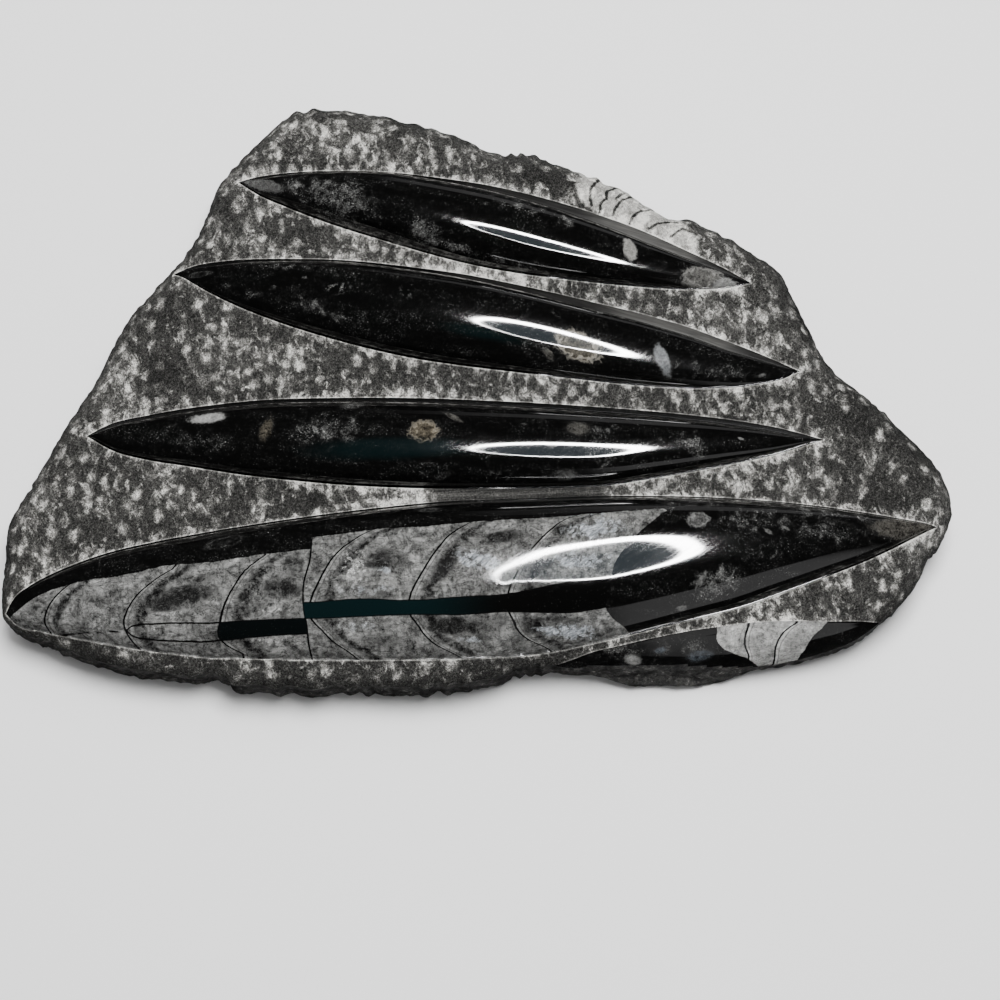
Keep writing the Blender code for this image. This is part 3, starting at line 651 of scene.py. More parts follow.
def chamber_number(walls, places, first):
    """How far along the chambers each place is: a whole number on each wall."""
    crossing = np.array([cut_line(wall, places[:, 1]) for wall in walls])
    number = np.full(len(places), first - 1.0)
    for index in range(len(walls) - 1):
        share = (places[:, 0] - crossing[index]) / (crossing[index + 1] - crossing[index])
        number = np.where(share > 0, first + index + share, number)
    return np.where(number < first, first - (crossing[0] - places[:, 0]) / FIRST_CHAMBER, number)


def measured(top, bottom, places):
    """Distance in from two lines, positive between them."""
    above = cut_line(top, places[:, 0]) - places[:, 1]
    below = places[:, 1] - cut_line(bottom, places[:, 0])
    return np.minimum(above, below)


def ellipse_radius(x, y, half_length, half_width, turn):
    """How far out from an ellipse's middle each point is, as a share of the way to its edge."""
    cosine, sine = math.cos(math.radians(turn)), math.sin(math.radians(turn))
    right, up = plan[:, 0] - x, plan[:, 1] - y
    return np.hypot((right * cosine + up * sine) / half_length, (up * cosine - right * sine) / half_width)


points = np.array(stone_points)
plan = points[:, :2]
ground_smooth = stone_faces["polished"] + stone_faces["groove"]
polished = np.unique([i for face in ground_smooth for i in face])
ground = np.unique([i for face in stone_faces["dressed"] for i in face])
marks = {name: np.zeros(len(points)) for name in ("fault", "bank", "cut_gap", "rim_gap", "dressed")}
for value, names in (
    (-FAR, ("shell_left", "shell_right", "tube_left", "tube_right")), (FAR, ("small_gap",)),
    (0.0, ("small_tone", "small_warmth", "small_rim")), (0.5, ("chamber",)), (1.0, ("fringe",)),
):  # fmt: skip
    marks.update({name: np.full(len(points), value) for name in names})
main_numbers = polished[inside(outlines[4], plan[polished])]
on_main = plan[main_numbers]
from_fault = on_main[:, 0] - cut_line(FAULT, on_main[:, 1])
left_number = chamber_number(CHAMBER_WALLS["left"], on_main, 1)
right_number = chamber_number(CHAMBER_WALLS["right"], on_main, 3)
marks["fault"][main_numbers] = from_fault
marks["chamber"][main_numbers] = np.where(from_fault < 0, left_number, right_number)
for side in ("left", "right"):
    marks["shell_" + side][main_numbers] = measured(SHELL_TOP[side], SHELL_BOTTOM[side], on_main)
    marks["tube_" + side][main_numbers] = measured(TUBE_TOP[side], TUBE_BOTTOM[side], on_main)
beyond_shell = (LAST_WALL - right_number) * WALL_SPACING
marks["shell_right"][main_numbers] = np.minimum(marks["shell_right"][main_numbers], beyond_shell)

edge_numbers = np.unique([i for row in edge_rows for i in row])
on_edge = plan[edge_numbers]
marks["shell_right"][edge_numbers] = signed_gap(EDGE_SHELL, on_edge)
marks["fault"][edge_numbers] = FAR
marks["chamber"][edge_numbers] = chamber_number(EDGE_WALLS, on_edge, 10)

for *ellipse, tone, warmth, rim_tone in ((*fossil, 0, 0)[:8] for fossil in SMALL_FOSSILS):
    radius = ellipse_radius(*ellipse)
    nearer = radius < marks["small_gap"]
    marks["small_gap"][nearer] = radius[nearer]
    for name, value in (("tone", tone), ("warmth", warmth), ("rim", rim_tone)):
        marks["small_" + name][nearer] = value
for name, patches in (
    ("dark", DARK_PATCHES), ("light", LIGHT_PATCHES), ("mottled", MOTTLED_PATCHES),
    ("needles", NEEDLE_PATCHES), ("teal", TEAL_SHEEN_PATCHES),
):  # fmt: skip
    marks[name] = np.zeros(len(points))
    for *ellipse, strength in patches:
        reach = np.clip(PATCH_REACH - ellipse_radius(*ellipse), 0, PATCH_PEAK)
        marks[name] = np.maximum(marks[name], strength * reach)
marks["pale"] = signed_gap(PALE_FOSSIL, plan)
marks["pale_wall"] = gap_finder([np.array(wall + wall[-2:0:-1]) for wall in PALE_FOSSIL_WALLS])(plan)
marks["rubbed"] = np.clip(signed_gap(RUBBED, plan) / RUBBED_FADE, 0, 1)
main_front = cut_line(SPINDLES["fourth"]["front"], plan[:, 0])
marks["fringe"][(plan[:, 1] < main_front) & (plan[:, 0] < FRONT_FRINGE_END)] = FRONT_FRINGE
for rows, strength in bank_rows[:2]:
    for row in rows:
        marks["bank"][row] = strength

cut_gap = gap_finder([*outlines[1:], plan[edge_rows[0]]])
marks["cut_gap"][ground] = cut_gap(plan[ground])
marks["rim_gap"][ground] = rim_gap(plan[ground])
marks["dressed"][ground] = np.clip((marks["cut_gap"][ground] - DRESSED_START) / DRESSED_FADE, 0, 1)
marks["dressed"] *= 1 - marks["rubbed"]

# ---- The chisel pits ----
# The ground is dressed with a point chisel: blow beside blow, each of which crushes a small pit a few
# millimetres wide and leaves the stone between them standing.

PIT_SPACING = 3.7
PIT_DEPTH = 1.0
PIT_REACH = 2.7
PIT_RAGGEDNESS = 4.0
PIT_SQUEEZE = (1.2, 0.8, 1.0)
PIT_SEED = 5
MOST_BLOWS = 140000.0
SWAY_SCALE = 260.0
CRUMB_SCALE = 900.0
VECTORS = "ShaderNodeVectorMath"


class Figure:
    """What a node gives. Sums with it add the nodes that they need, a product only once it is used."""

    def __init__(self, socket, factors=None):
        self.found, self.factors = socket, factors

    @property
    def socket(self):
        if self.found is None:
            self.found = reckon("MULTIPLY", *self.factors).found
        return self.found

    def __add__(self, other):
        if self.factors:
            return reckon("MULTIPLY_ADD", *self.factors, other)
        if isinstance(other, Figure) and other.factors:
            return other + self
        return reckon("ADD", self, other)

    def __sub__(self, other):
        return reckon("SUBTRACT", self, other) if isinstance(other, Figure) else self + -other

    def __rsub__(self, other):
        return reckon("SUBTRACT", other, self)

    def __mul__(self, other):
        return Figure(None, (self, other))

    def __pow__(self, other):
        return reckon("POWER", self, other)

    def __abs__(self):
        return reckon("ABSOLUTE", self)

    __radd__, __rmul__ = __add__, __mul__


def feed(node, inputs):
    """Gives a node its inputs, each of them a value, a figure or a node."""
    for name, value in inputs.items():
        if isinstance(value, (Figure, bpy.types.Node)):
            socket = value.socket if isinstance(value, Figure) else value.outputs[0]
            node.id_data.links.new(socket, node.inputs[name])
        else:
            node.inputs[name].default_value = value


def add_node(tree, kind, inputs=None, **settings):
    """Adds a node with its settings and inputs."""
    node = tree.nodes.new(kind)
    for name, value in settings.items():
        setattr(node, name, value)
    feed(node, inputs or {})
    return node


def figure(tree, kind, inputs=None, output=0, **settings):
    """What a new node gives."""
    return Figure(add_node(tree, kind, inputs, **settings).outputs[output])


def reckon(operation, *values, kind="ShaderNodeMath", output=0, **named):
    """The result of a Math node."""
    tree = next(value.socket.id_data for value in values if isinstance(value, Figure))
    return figure(tree, kind, {**dict(enumerate(values)), **named}, output, operation=operation)


def ramp(value, start, end, low=0.0, high=1.0, shape="SMOOTHSTEP"):
    """A figure that passes smoothly from low to high while another one goes from start to end."""
    ends = {0: value, 1: start, 2: end, 3: low, 4: high}
    return figure(value.socket.id_data, "ShaderNodeMapRange", ends, interpolation_type=shape)


def new_group(name, inputs, outputs, kind="ShaderNodeTree"):
    """A node group with named inputs and outputs. Returns it, what it is given and its last node."""
    tree = bpy.data.node_groups.new(name, kind)
    for direction, sockets in (("INPUT", inputs), ("OUTPUT", outputs)):
        for socket, values in sockets.items():
            tree.interface.new_socket(socket, in_out=direction, socket_type="NodeSocket" + values)
    given = {socket.name: Figure(socket) for socket in tree.nodes.new("NodeGroupInput").outputs}
    return tree, given, tree.nodes.new("NodeGroupOutput")


pits, given, result = new_group(
    "chisel pits",
    {"Stone": "Geometry", "Spacing": "Float", "Depth": "Float", "Reach": "Float",
     "Raggedness": "Float", "Seed": "Int", "Finish": "Material"},
    {"Stone": "Geometry"}, "GeometryNodeTree",
)  # fmt: skip
dressed = figure(pits, "GeometryNodeInputNamedAttribute", {"Name": "dressed"}, data_type="FLOAT")
blows = figure(
    pits, "GeometryNodeDistributePointsOnFaces",
    {"Mesh": given["Stone"], "Distance Min": given["Spacing"], "Density Max": MOST_BLOWS,
     "Density Factor": dressed, "Seed": given["Seed"]},
    distribute_method="POISSON",
)  # fmt: skip
place = figure(pits, "GeometryNodeInputPosition")
sway_noise = {"Vector": place, "Scale": SWAY_SCALE, "Detail": 3.0, "Roughness": 0.6}
sway = figure(pits, "ShaderNodeTexNoise", sway_noise, "Color")
sway = reckon("SUBTRACT", sway, (0.5, 0.5, 0.5), kind=VECTORS)
sway = reckon("SCALE", sway, Scale=given["Raggedness"], kind=VECTORS)
swayed = reckon("ADD", place, sway, kind=VECTORS)
nearest = figure(pits, "GeometryNodeSampleNearest", {"Geometry": blows, "Sample Position": swayed})


def at_blow(value, kind):
    """A value at the nearest blow."""
    inputs = {"Geometry": blows, "Value": value, "Index": nearest}
    return figure(pits, "GeometryNodeSampleIndex", inputs, data_type=kind)


gap = reckon("SUBTRACT", swayed, at_blow(place, "FLOAT_VECTOR"), kind=VECTORS)
gap = reckon("MULTIPLY", gap, PIT_SQUEEZE, kind=VECTORS)
gap = reckon("LENGTH", gap, kind=VECTORS, output="Value")
strength = figure(pits, "FunctionNodeRandomValue", {"Seed": given["Seed"]}, 1, data_type="FLOAT")
force = at_blow(strength, "FLOAT")
crumb_noise = {"Vector": place, "Scale": CRUMB_SCALE, "Detail": 3.0, "Roughness": 0.7}
crumbs = figure(pits, "ShaderNodeTexNoise", crumb_noise) * 0.5 - 0.25
hollow = ramp(gap, 0.0, given["Reach"], 1.0, 0.0) * (force * 0.5 + 0.5)
hollow = (hollow + crumbs) * given["Depth"] * dressed * -1.0
offset = add_node(pits, "ShaderNodeCombineXYZ", {"Z": hollow})
struck = figure(pits, "GeometryNodeSetPosition", {"Geometry": given["Stone"], "Offset": offset})
for name, value in (("pit_gap", reckon("DIVIDE", gap, METRES)), ("pit_force", force)):
    kept = {"Geometry": struck, "Name": name, "Value": value}
    struck = figure(pits, "GeometryNodeStoreNamedAttribute", kept, data_type="FLOAT", domain="POINT")
ground_faces = figure(pits, "GeometryNodeInputNamedAttribute", {"Name": "ground"}, data_type="BOOLEAN")
whole = figure(pits, "GeometryNodeRealizeInstances", {"Geometry": struck})
finish = {"Geometry": whole, "Selection": ground_faces, "Material": given["Finish"]}
feed(result, {"Stone": add_node(pits, "GeometryNodeSetMaterial", finish)})

# ---- The dressed finish ----
# Each blow crushes the dark stone to a fuzzy white bruise, while the stone between the pits stays dark
# grey. Bruises crowd along the fossils' cut edges, which show as a thin white line.

DRESSED_TONE = 0.235
BRUISE_TONE = 0.62
PALE_TONE = 0.6
RUBBED_TONE = 0.04
WHITE_LINE_TONE = 0.45


def new_material(name, roughness):
    material = bpy.data.materials.new(name)
    material.use_nodes = True
    shader = material.node_tree.nodes["Principled BSDF"]
    shader.inputs["Roughness"].default_value = roughness
    return material, material.node_tree, shader


def use_group(tree, group, **inputs):
    """Places a shader group with its own values and returns what it gives."""
    inputs = {name.replace("_", " "): value for name, value in inputs.items()}
    return [Figure(socket) for socket in add_node(tree, "ShaderNodeGroup", inputs, node_tree=group).outputs]


def texture(tree, lengths, turn=0.0, kind="ShaderNodeTexNoise", **inputs):
    """A pattern on the stone, with its lengths in millimetres along and across a turned line."""
    lengths = lengths if isinstance(lengths, tuple) else (lengths,) * 3
    placing = {
        "Vector": figure(tree, "ShaderNodeTexCoord", output="Object"),
        "Rotation": (0, 0, math.radians(turn)), "Scale": [length * METRES for length in lengths],
    }  # fmt: skip
    place = figure(tree, "ShaderNodeMapping", placing, vector_type="TEXTURE")
    return figure(tree, kind, {"Vector": place, "Scale": 1.0, **inputs})


def ridges(tree, lengths, width, **settings):
    """Thin curved lines, at 1 along the line and 0 away from it."""
    return ramp(abs(texture(tree, lengths, **settings) * 2.0 - 1.0), width, 0.0)


def mark(tree, name):
    """One of the measures kept on the stone's points."""
    return figure(tree, "ShaderNodeAttribute", output="Fac", attribute_name=name)


def between(share, first, second):
    """A figure that passes from the first to the second with a share."""
    return figure(share.socket.id_data, "ShaderNodeMix", {0: share, 2: first, 3: second})


def coloured(tone, warmth):
    """The stone's colour at a tone."""
    return use_group(tone.socket.id_data, stone_colour, Tone=tone, Warmth=warmth)[0]


def bumped(height, strength, depth):
    """Normals for an unevenness that is the given millimetres deep."""
    inputs = {"Strength": strength, "Distance": depth * METRES, "Height": height}
    return add_node(height.socket.id_data, "ShaderNodeBump", inputs)


stone_colour, given, result = new_group(
    "stone colour", {"Tone": "Float", "Warmth": "Float"}, {"Color": "Color"}
)
tone = reckon("MINIMUM", reckon("MAXIMUM", given["Tone"], 0.0), 1.3)
paleness, warmth = tone**2.6 * 0.42 + 0.0013, given["Warmth"]
parts = {"Red": paleness * (warmth * 0.2 + 1.0), "Green": paleness, "Blue": paleness * (warmth * -0.3 + 0.97)}
feed(result, {"Color": add_node(stone_colour, "ShaderNodeCombineColor", parts)})

stone_grain, given, result = new_group(
    "stone grain", {"Blotch Size": "Float", "Grain Size": "Float"},
    {"Blotch": "Float", "Grain": "Float", "Veins": "Float"},
)  # fmt: skip
on_stone = figure(stone_grain, "ShaderNodeTexCoord", output="Object")
for output, size, detail, roughness, turned in (
    ("Blotch", "Blotch Size", 4.0, 0.62, 0.0), ("Grain", "Grain Size", 3.0, 0.7, 0.6),
    ("Veins", "Blotch Size", 5.0, 0.6, 1.3),
):  # fmt: skip
    placing = {"Vector": on_stone, "Rotation": (turned, turned, turned), "Scale": given[size] * METRES}
    place = figure(stone_grain, "ShaderNodeMapping", placing, vector_type="TEXTURE")
    look = {"Vector": place, "Scale": 1.0, "Detail": detail, "Roughness": roughness, "Distortion": 0.6}
    pattern = figure(stone_grain, "ShaderNodeTexNoise", look) * 2.0 - 1.0
    feed(result, {output: ramp(abs(pattern), 0.16, 0.0) if output == "Veins" else pattern})

dressed_face, tree, shader = new_material("dressed_face", 0.75)
blotch, grain, _ = use_group(tree, stone_grain, Blotch_Size=3.0, Grain_Size=0.8)
from_cut, from_rim, rubbed = (mark(tree, name) for name in ("cut_gap", "rim_gap", "rubbed"))
dust = texture(tree, 0.45, Detail=2.0, Roughness=0.8) - 0.5
broad = texture(tree, 22.0, Detail=3.0, Roughness=0.6) - 0.5
threads = ridges(tree, (1.1, 2.0, 1.5), 0.13, turn=14, Detail=3.0, Roughness=0.6, Distortion=1.6)
fur = ridges(tree, (0.7, 1.5, 1.1), 0.2, turn=-30, Detail=2.0, Roughness=0.6, Distortion=1.0)
lighter = ramp(mark(tree, "light") + blotch * 0.35 + grain * 0.15, 0.15, 0.8)
darker = ramp(mark(tree, "dark") + blotch * 0.3, 0.1, 0.7)
# Near the rim the face is smoother, with fewer bruises, and it is darker there: painted shade where the face
# rounds over away from the light.
rim_smoothing_and_shade = ramp(from_rim, 2.5, 0.3)
beside_cut = ramp(from_cut, 4.0, 0.0) * mark(tree, "fringe")
crushed = (
    texture(tree, (2.7, 4.0, 3.2), turn=10, Detail=4.0, Roughness=0.62, Distortion=0.6)
    + beside_cut * 0.1 + broad * 0.25 + ramp(from_rim, 9.0, 2.0) * -0.03 + lighter * 0.07 + darker * -0.08
)  # fmt: skip
from_pit = mark(tree, "pit_gap") + blotch * 2.6 + grain * 0.9
force = ramp(mark(tree, "pit_force"), 0.2, 0.9, 0.0, 1.25)
bruise = ramp(from_pit, 2.9, -0.9) * force + ramp(crushed, 0.49, 0.8)
bruise = reckon("MINIMUM", bruise * (rim_smoothing_and_shade * -0.7 + 1.0), 1.5)
in_pale = ramp(mark(tree, "pale") + blotch * 2.4, -0.6, 1.4)
pale_tone = PALE_TONE + blotch * 0.6 + ramp(mark(tree, "pale_wall") + blotch * 0.3, 0.7, 0.2) * -0.7
old_shell = ramp(mark(tree, "small_gap") + blotch * 0.5, 1.15, 0.6)
# The rim term in this tone is painted shade over the rounded edge.
tone = (
    DRESSED_TONE + broad * 0.3 + grain * (bruise * 0.35 + 0.38) + threads * (bruise * 0.3 + 0.2)
    + fur * (bruise * 0.25 + 0.1) + dust * (bruise + 0.6) + bruise * BRUISE_TONE + lighter * 0.1
    + darker * -0.08 + in_pale * pale_tone + rim_smoothing_and_shade * -0.05 + old_shell * mark(tree, "small_tone")
)  # fmt: skip
scratches = texture(tree, (14, 0.5, 0.5), turn=3, Detail=3.0, Roughness=0.7)
rubbed_tone = RUBBED_TONE + scratches * 0.6 + dust * 0.8 + ramp(from_cut, 0.8, 2.0) * 0.16
line_gap = from_cut + dust * 0.8 + rubbed * 0.5 + texture(tree, 5.0, Detail=3.0) * 0.6
tone = between(rubbed + blotch * 0.6, tone, rubbed_tone) + ramp(line_gap, 0.8, 0.3) * WHITE_LINE_TONE
feed(shader, {
    "Base Color": coloured(tone, 0.1), "Roughness": ramp(bruise, 0.0, 0.6, 0.6, 0.9),
    "Specular IOR Level": 0.12, "Normal": bumped(blotch + grain * 0.8 + threads * 0.3, 1.0, 0.5),
})  # fmt: skip

# ---- The polish and the fossils in it ----
# Ground smooth, the limestone turns near black with fine pale specks, and the shells in it are grey
# calcite with thin dark chamber walls, muddy dark fills and bluish crystals. The spindles are polished to
# a mirror, while the foot of their grooves stays matt.

BLACK_TONE = 0.05
MOTTLED_TONE = 0.23
BANK_TONE = 0.06
CALCITE_TONE = 0.63
FILL_TONE = 0.2
LINING_TONE = 0.38
CHAMBER_LENGTH = 27.0
EDGE_CHAMBER_LENGTH = 10.0
TEAL = (0.0018, 0.0062, 0.0068, 1)
CELLS = "ShaderNodeTexVoronoi"

fossil_pattern, _, result = new_group("fossil pattern", {}, {"Color": "Color"})
tree = fossil_pattern
blotch, _, veins = use_group(tree, stone_grain, Blotch_Size=5.5, Grain_Size=0.8)
fine_blotch, grain, _ = use_group(tree, stone_grain, Blotch_Size=1.9, Grain_Size=0.5)
drift = texture(tree, (16, 4, 4), turn=-6, Detail=4.0, Roughness=0.6) * 2.0 - 1.0
specks, fine_specks = (texture(tree, length, kind=CELLS) for length in (1.0, 0.6))
dots = ramp(texture(tree, 0.6, Detail=2.0, Roughness=0.7), 0.53, 0.75)
mottled = ramp(mark(tree, "mottled") + blotch, 0.1, 0.9)
clouds = MOTTLED_TONE + blotch * 0.3 + fine_blotch * 0.35 + grain * 0.3
speckled = ramp(drift, -0.4, 0.3, 0.06, 0.32) + mottled * 0.1
black_tone = (
    BLACK_TONE + drift * 0.12 + mottled * reckon("MAXIMUM", clouds, 0.02) + grain * 0.1
    + fine_blotch * 0.16 + ramp(specks, 0.22, 0.06) * speckled
    + ramp(fine_specks, 0.34, 0.1) * (speckled * 0.45 + 0.03) + dots * speckled
)  # fmt: skip
bank_strength = mark(tree, "bank") + drift * 0.15
bank = ramp(bank_strength, 0.3, 0.8)
streaks = texture(tree, (14, 0.7, 0.7), turn=-17, Detail=3.0, Roughness=0.6)
bank_tone = BANK_TONE + streaks * 0.34 + ramp(bank_strength, 1.2, 1.9) * 0.2
black_tone = between(bank, black_tone, bank_tone)
fault = mark(tree, "fault")
on_right = ramp(fault, -0.02, 0.02, shape="LINEAR")


def of_block(name):
    """A measure of the left or right block, whichever side of the fault it is."""
    return between(on_right, mark(tree, name + "_left"), mark(tree, name + "_right"))


wobble = texture(tree, 6.0, Detail=3.0) - 0.5
in_shell = ramp(of_block("shell") + wobble + fine_blotch * 0.25, -0.15, 0.2)
tube = of_block("tube") + wobble * 0.5 + fine_blotch * 0.15
chamber = mark(tree, "chamber")
on_edge = ramp(chamber, 8.5, 9.0)
chamber_length = CHAMBER_LENGTH + on_edge * (EDGE_CHAMBER_LENGTH - CHAMBER_LENGTH)
share = reckon("FRACT", chamber + wobble * 0.015)
from_wall, to_wall = share * chamber_length, (1.0 - share) * chamber_length
fibres = texture(tree, (0.6, 4, 4), turn=4, Detail=3.0, Roughness=0.6) - 0.5
layers = ridges(tree, (9, 1.5, 1.5), 0.1, turn=5, Detail=3.0, Roughness=0.6, Distortion=0.5)
cracks = ridges(tree, (4, 3, 3), 0.05, Detail=3.0, Roughness=0.6, Distortion=1.2)
lining = ramp(abs(from_wall + blotch * 2.5 - 4.6), 2.4, 0.4) * ramp(fine_blotch, -0.35, 0.25)
calcite = (
    CALCITE_TONE + on_edge * 0.28 + fibres * 0.2 + blotch * 0.42 + fine_blotch * 0.3 + grain * 0.16
    + veins * -0.12 + layers * (blotch * -0.3 - 0.08) + cracks * -0.18
    + ramp(from_wall, 2.6, 0.6) * 0.08 - lining * (LINING_TONE + on_edge * -0.34)
)  # fmt: skip
ragged_edge = blotch * 1.3 + fine_blotch * 1.1 + grain * 0.5
dark, light = mark(tree, "dark"), mark(tree, "light")
filled = ramp(dark + ragged_edge * (dark * 0.9 + 0.3), 0.3, 0.85) * (0.95 + on_edge * -0.5)
clear = ramp(light + ragged_edge * (light * 0.9 + 0.3), 0.35, 0.9, 0.0, 0.9)
fill_tone = reckon("MAXIMUM", FILL_TONE + fine_blotch * 0.4 + grain * 0.25, 0.08)
feathers = texture(tree, (3.5, 1.0, 1.0), turn=40, Detail=4.0, Roughness=0.6, Distortion=1.2)
tone = between(clear, between(filled, calcite, fill_tone), feathers * 1.6 + grain * 0.15)
wall_gap = reckon("MINIMUM", from_wall, to_wall) + fine_blotch * 0.12
for gap, start, end, darkest in (
    (wall_gap, 0.14, 0.4, 0.15), (abs(from_wall - (wobble + 1.15)), 0.05, 0.3, 0.75),
    (abs(fault), 0.12, 0.4, 0.2), (abs(tube), 0.1, 0.35, 0.25),
):  # fmt: skip
    tone = tone * ramp(gap, start, end, darkest)
in_tube = ramp(tube, -0.15, 0.15) * ramp(chamber, 2.97, 3.03)
tone = tone * (1.0 + in_tube * -0.97) + in_tube * ramp(specks, 0.16, 0.05) * 0.3
tone = between(in_shell, black_tone, tone)

small = mark(tree, "small_gap") + blotch * 0.35 + fine_blotch * 0.55
in_small = ramp(small, 1.15, 0.6)
small_rim = ramp(abs(small - 0.8), 0.2, 0.03) * mark(tree, "small_rim")
small_tone = mark(tree, "small_tone") + grain * 0.28 + fine_blotch * 0.35 + small_rim
needles = ridges(tree, (1.1, 0.8, 0.8), 0.1, Detail=3.0, Distortion=3.0)
needles *= ramp(texture(tree, 1.7, turn=20), 0.47, 0.62) * ramp(mark(tree, "needles"), 0.1, 1.0)
tone = between(in_small, tone, small_tone) + needles * 0.9
bluish = clear * ramp(chamber, 4.0, 4.6, 0.0, 0.35) * (1.0 - on_edge)
colour = coloured(tone, in_small * mark(tree, "small_warmth") + bank * 0.1 - bluish)
teal = in_tube * in_shell * ramp(chamber, 6.0, 5.0) * (0.2 + on_right * 0.8)
# Besides the tube's own teal, the teal patches add a painted reflection along the crests of the second and
# third spindles.
teal = reckon("MAXIMUM", teal, ramp(mark(tree, "teal") + drift * 0.3, 0.1, 0.9, 0.0, 0.6))
colour = add_node(tree, "ShaderNodeMix", {0: teal, 6: colour, 7: TEAL}, data_type="RGBA").outputs[2]
feed(result, {"Color": Figure(colour)})

polished_stone, tree, shader = new_material("polished_stone", 0.06)
scuffs = texture(tree, (9, 0.5, 0.5), turn=35, Detail=2.0)
waviness = texture(tree, (22, 7, 7), turn=-8, Detail=1.0)
feed(shader, {
    "Base Color": use_group(tree, fossil_pattern)[0], "Roughness": ramp(scuffs, 0.45, 0.8, 0.045, 0.09),
    "Normal": bumped(waviness, 0.3, 0.05),
})  # fmt: skip

matt_groove, tree, shader = new_material("matt_groove", 0.6)
turning_marks = texture(tree, (6, 0.7, 0.7), turn=-10, Detail=2.0)
feed(shader, {
    "Base Color": use_group(tree, fossil_pattern)[0], "Specular IOR Level": 0.15,
    "Normal": bumped(turning_marks, 0.4, 0.1),
})  # fmt: skip

# ---- The broken side ----
# The wall is raw broken limestone, dark grey with paler chips, and never polished.

SIDE_TONE = 0.27

broken_side, tree, shader = new_material("broken_side", 0.75)
blotch, grain, veins = use_group(tree, stone_grain, Blotch_Size=4.0, Grain_Size=0.9)
chips = texture(tree, (1.5, 1.5, 1.0), Detail=3.0, Roughness=0.7)
tone = SIDE_TONE + blotch * 0.4 + grain * 0.35 + veins * 0.08 + ramp(chips, 0.56, 0.72) * 0.35
feed(shader, {"Base Color": coloured(tone, 0.15), "Normal": bumped(blotch + grain * 0.3, 0.9, 0.9)})

# ---- The sawn back ----
# The back is left as the saw cut it: flat, dull dark grey, with shallow curved saw lines.

BACK_TONE = 0.25

sawn_back, tree, shader = new_material("sawn_back", 0.6)
blotch, grain, _ = use_group(tree, stone_grain, Blotch_Size=14.0, Grain_Size=0.8)
saw_lines = texture(tree, (300, 2.4, 2.4), turn=8, Detail=3.0)
tone = BACK_TONE + saw_lines * 0.3 + blotch * 0.12 + grain * 0.12
feed(shader, {"Base Color": coloured(tone, 0.1), "Normal": bumped(saw_lines, 0.5, 0.2)})

# ---- The stone as one piece ----
# Face, fossils, wall and back close round one solid stone. It is struck with the chisel pits, then set
# over the middle of its back.

CLEAR_OF_CAD = 0.9999


def placed(name, data):
    """Puts a mesh, a lamp or a camera in the scene."""
    holder = bpy.data.objects.new(name, data)
    bpy.context.scene.collection.objects.link(holder)
    return holder


middle = (points.min(axis=0) + points.max(axis=0)) / 2
mesh = bpy.data.meshes.new("fossil_plaque")
centred = (points - (middle[0], middle[1], 0)) * METRES
mesh.from_pydata(centred.tolist(), [], [face for part in stone_faces.values() for face in part])
finish_numbers = np.repeat(range(len(stone_faces)), [len(part) for part in stone_faces.values()])
mesh.polygons.foreach_set("material_index", finish_numbers)
for material in (dressed_face, polished_stone, matt_groove, broken_side, sawn_back):
    mesh.materials.append(material)
for name, values in marks.items():
    mesh.attributes.new(name, "FLOAT", "POINT").data.foreach_set("value", values)
mesh.attributes.new("ground", "BOOLEAN", "FACE").data.foreach_set("value", finish_numbers == 0)
mesh.shade_smooth()
shape = bmesh.new()
shape.from_mesh(mesh)
for edge in shape.edges:
    finishes = {face.material_index for face in edge.link_faces}
    if len(finishes) > 1 and finishes != {1, 2}:
        edge.smooth = False
shape.to_mesh(mesh)
shape.free()

plaque = placed("fossil_plaque", mesh)
modifier = plaque.modifiers.new("chisel pits", "NODES")
modifier.node_group = pits
for item in pits.interface.items_tree:
    setting = {
        "Spacing": PIT_SPACING * METRES, "Depth": PIT_DEPTH * METRES, "Reach": PIT_REACH * METRES,
        "Raggedness": PIT_RAGGEDNESS * METRES, "Seed": PIT_SEED, "Finish": dressed_face,
    }.get(item.name)  # fmt: skip
    if setting is not None:
        modifier[item.identifier] = setting
evaluated = plaque.evaluated_get(bpy.context.evaluated_depsgraph_get())
struck_mesh = bpy.data.meshes.new_from_object(evaluated)
plaque.modifiers.clear()
plaque.data = struck_mesh

struck_points = np.empty(len(struck_mesh.vertices) * 3, np.float32)
struck_mesh.vertices.foreach_get("co", struck_points)
struck_points = struck_points.reshape(-1, 3)
low, high = struck_points.min(axis=0), struck_points.max(axis=0)
room = np.array(cad_box[1]) - np.array(cad_box[0])
struck_points = struck_points - [(low[0] + high[0]) / 2, (low[1] + high[1]) / 2, low[2]]
struck_points *= np.minimum(1, room / (high - low) * CLEAR_OF_CAD)
struck_mesh.vertices.foreach_set("co", struck_points.astype(np.float32).ravel())
struck_mesh.update()

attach(plaque, "root")
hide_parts("orthoceras_plaque")

# ---- The floor ----
# A plain pale surface that the stone lies on.

FLOOR_REACH = 20.0
FLOOR_TONE = 0.86

corners = [(-1, -1), (1, -1), (1, 1), (-1, 1)]
floor_mesh = bpy.data.meshes.new("floor")
floor_mesh.from_pydata([(x * FLOOR_REACH, y * FLOOR_REACH, 0) for x, y in corners], [], [(0, 1, 2, 3)])
floor_material, tree, shader = new_material("pale_floor", 0.6)
feed(shader, {"Base Color": (FLOOR_TONE, FLOOR_TONE, FLOOR_TONE, 1), "Specular IOR Level": 0.0})
floor_mesh.materials.append(floor_material)
floor = placed("floor", floor_mesh)
floor.visible_glossy = False

# ---- Camera and light ----
# A camera that looks down on the stone, a thin ring lamp above it whose long reflections lie on the
# polish, dim panels behind and in front, and wide soft lights that the polish doesn't show.

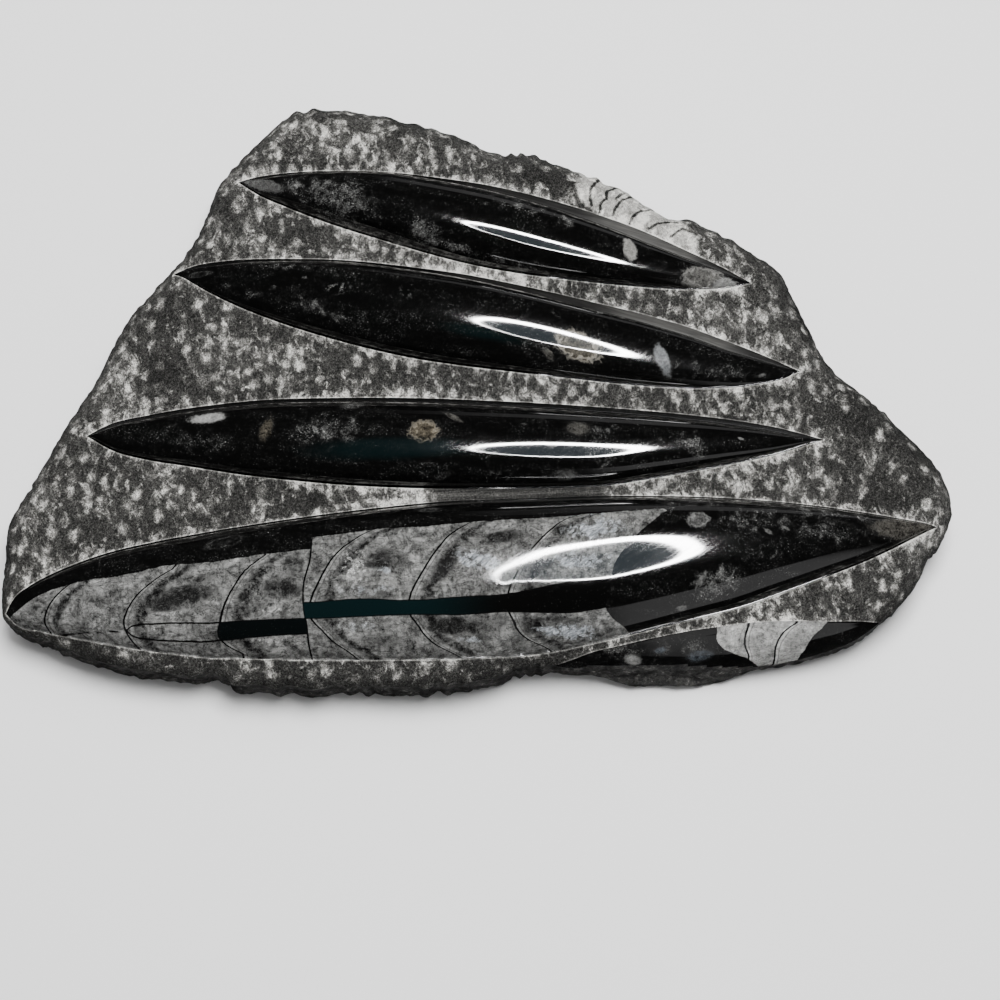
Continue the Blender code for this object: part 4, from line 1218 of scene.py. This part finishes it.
CAMERA_TILT = math.radians(74)
CAMERA_DISTANCE = 0.703
CAMERA_AIM = Vector((0.0066, -0.0399, 0.024))
RING_MIDDLE = (0.118, 0.045)
RING_HEIGHT = 0.90
RING_HALF = (0.118, 0.225)
RING_HOLE_MIDDLE = (0.105, 0.026)
RING_HOLE_HALF = (0.1, 0.188)
RING_STEPS = 96
RING_GLOW = (330.0, 330.0, 330.0)
HAZE_GLOW = (0.8, 1.0, 1.15)
PANEL_FADE = 0.35
WORLD_GLOW = 0.25

camera = placed("camera", bpy.data.cameras.new("camera"))
away = Vector((0, math.cos(CAMERA_TILT), -math.sin(CAMERA_TILT)))
camera.location = CAMERA_AIM - CAMERA_DISTANCE * away
camera.rotation_euler = (math.radians(90) - CAMERA_TILT, 0, 0)
camera.data.lens = 80
camera.data.sensor_width = 36
bpy.context.scene.camera = camera


def add_lamp(name, kind, place, power, **shape):
    """A soft light that looks at the stone and doesn't show in its polish."""
    lamp = bpy.data.lights.new(name, kind)
    lamp.energy = power
    for setting, value in shape.items():
        setattr(lamp, setting, value)
    holder = placed(name, lamp)
    holder.location = place
    holder.rotation_euler = (-Vector(place)).to_track_quat("-Z", "Y").to_euler()
    holder.visible_glossy = False


def add_glow(name, places, faces, glow, ends=None):
    """A glowing sheet that shows only in the polish. It can fade towards its left and right ends."""
    sheet = bpy.data.meshes.new(name)
    sheet.from_pydata(places, [], faces)
    material, tree, shader = new_material(name, 1.0)
    strength = max(glow)
    tint = (*(part / strength for part in glow), 1)
    feed(shader, {"Base Color": (0, 0, 0, 1), "Emission Color": tint, "Emission Strength": strength})
    if ends:
        on_sheet = figure(tree, "ShaderNodeTexCoord", output="Object")
        along = figure(tree, "ShaderNodeSeparateXYZ", {"Vector": on_sheet}, "X")
        rise = ramp(along, ends[0], ends[0] + PANEL_FADE, 0.0, strength)
        feed(shader, {"Emission Strength": rise * ramp(along, ends[1], ends[1] - PANEL_FADE)})
    sheet.materials.append(material)
    holder = placed(name, sheet)
    holder.visible_camera = holder.visible_diffuse = holder.visible_shadow = False


turns = [2 * math.pi * step / RING_STEPS for step in range(RING_STEPS)]
ring_places = [
    (x + half_x * math.cos(turn), y + half_y * math.sin(turn), RING_HEIGHT)
    for (x, y), (half_x, half_y) in ((RING_MIDDLE, RING_HALF), (RING_HOLE_MIDDLE, RING_HOLE_HALF))
    for turn in turns
]
after = [(step + 1) % RING_STEPS for step in range(RING_STEPS)]
ring_faces = [(i, j, RING_STEPS + j, RING_STEPS + i) for i, j in enumerate(after)]
add_glow("ring_lamp", ring_places, ring_faces, RING_GLOW)
add_glow("ring_haze", ring_places[RING_STEPS:], [list(range(RING_STEPS))], HAZE_GLOW)
for name, ends, y, high, glow in (
    ("back_panel", (-0.15, 1.3), 1.3, 0.45, 0.5), ("front_panel", (0.1, 1.2), -1.1, 1.0, 0.9),
):  # fmt: skip
    panel_places = [(ends[i], y, z) for i, z in ((0, 0), (1, 0), (1, high), (0, high))]
    add_glow(name, panel_places, [(0, 1, 2, 3)], (glow, glow, glow), ends)
add_lamp("main_light", "AREA", (0.1, 0.15, 0.95), 17, size=0.4)
add_lamp("soft_light", "SUN", (0.3, 0.6, 1.4), 1.5, angle=math.radians(55))

# The world is pale to the camera, dim to the stone and nearly dark in its polish.
world = bpy.data.worlds.new("studio")
world.use_nodes = True
bpy.context.scene.world = world
path = add_node(world.node_tree, "ShaderNodeLightPath").outputs
to_camera, in_polish = Figure(path["Is Camera Ray"]), Figure(path["Is Glossy Ray"])
brightness = (to_camera * 1.1 + WORLD_GLOW) * (in_polish * -0.9 + 1.0)
feed(world.node_tree.nodes["Background"], {"Strength": brightness, "Color": (1, 1, 1, 1)})
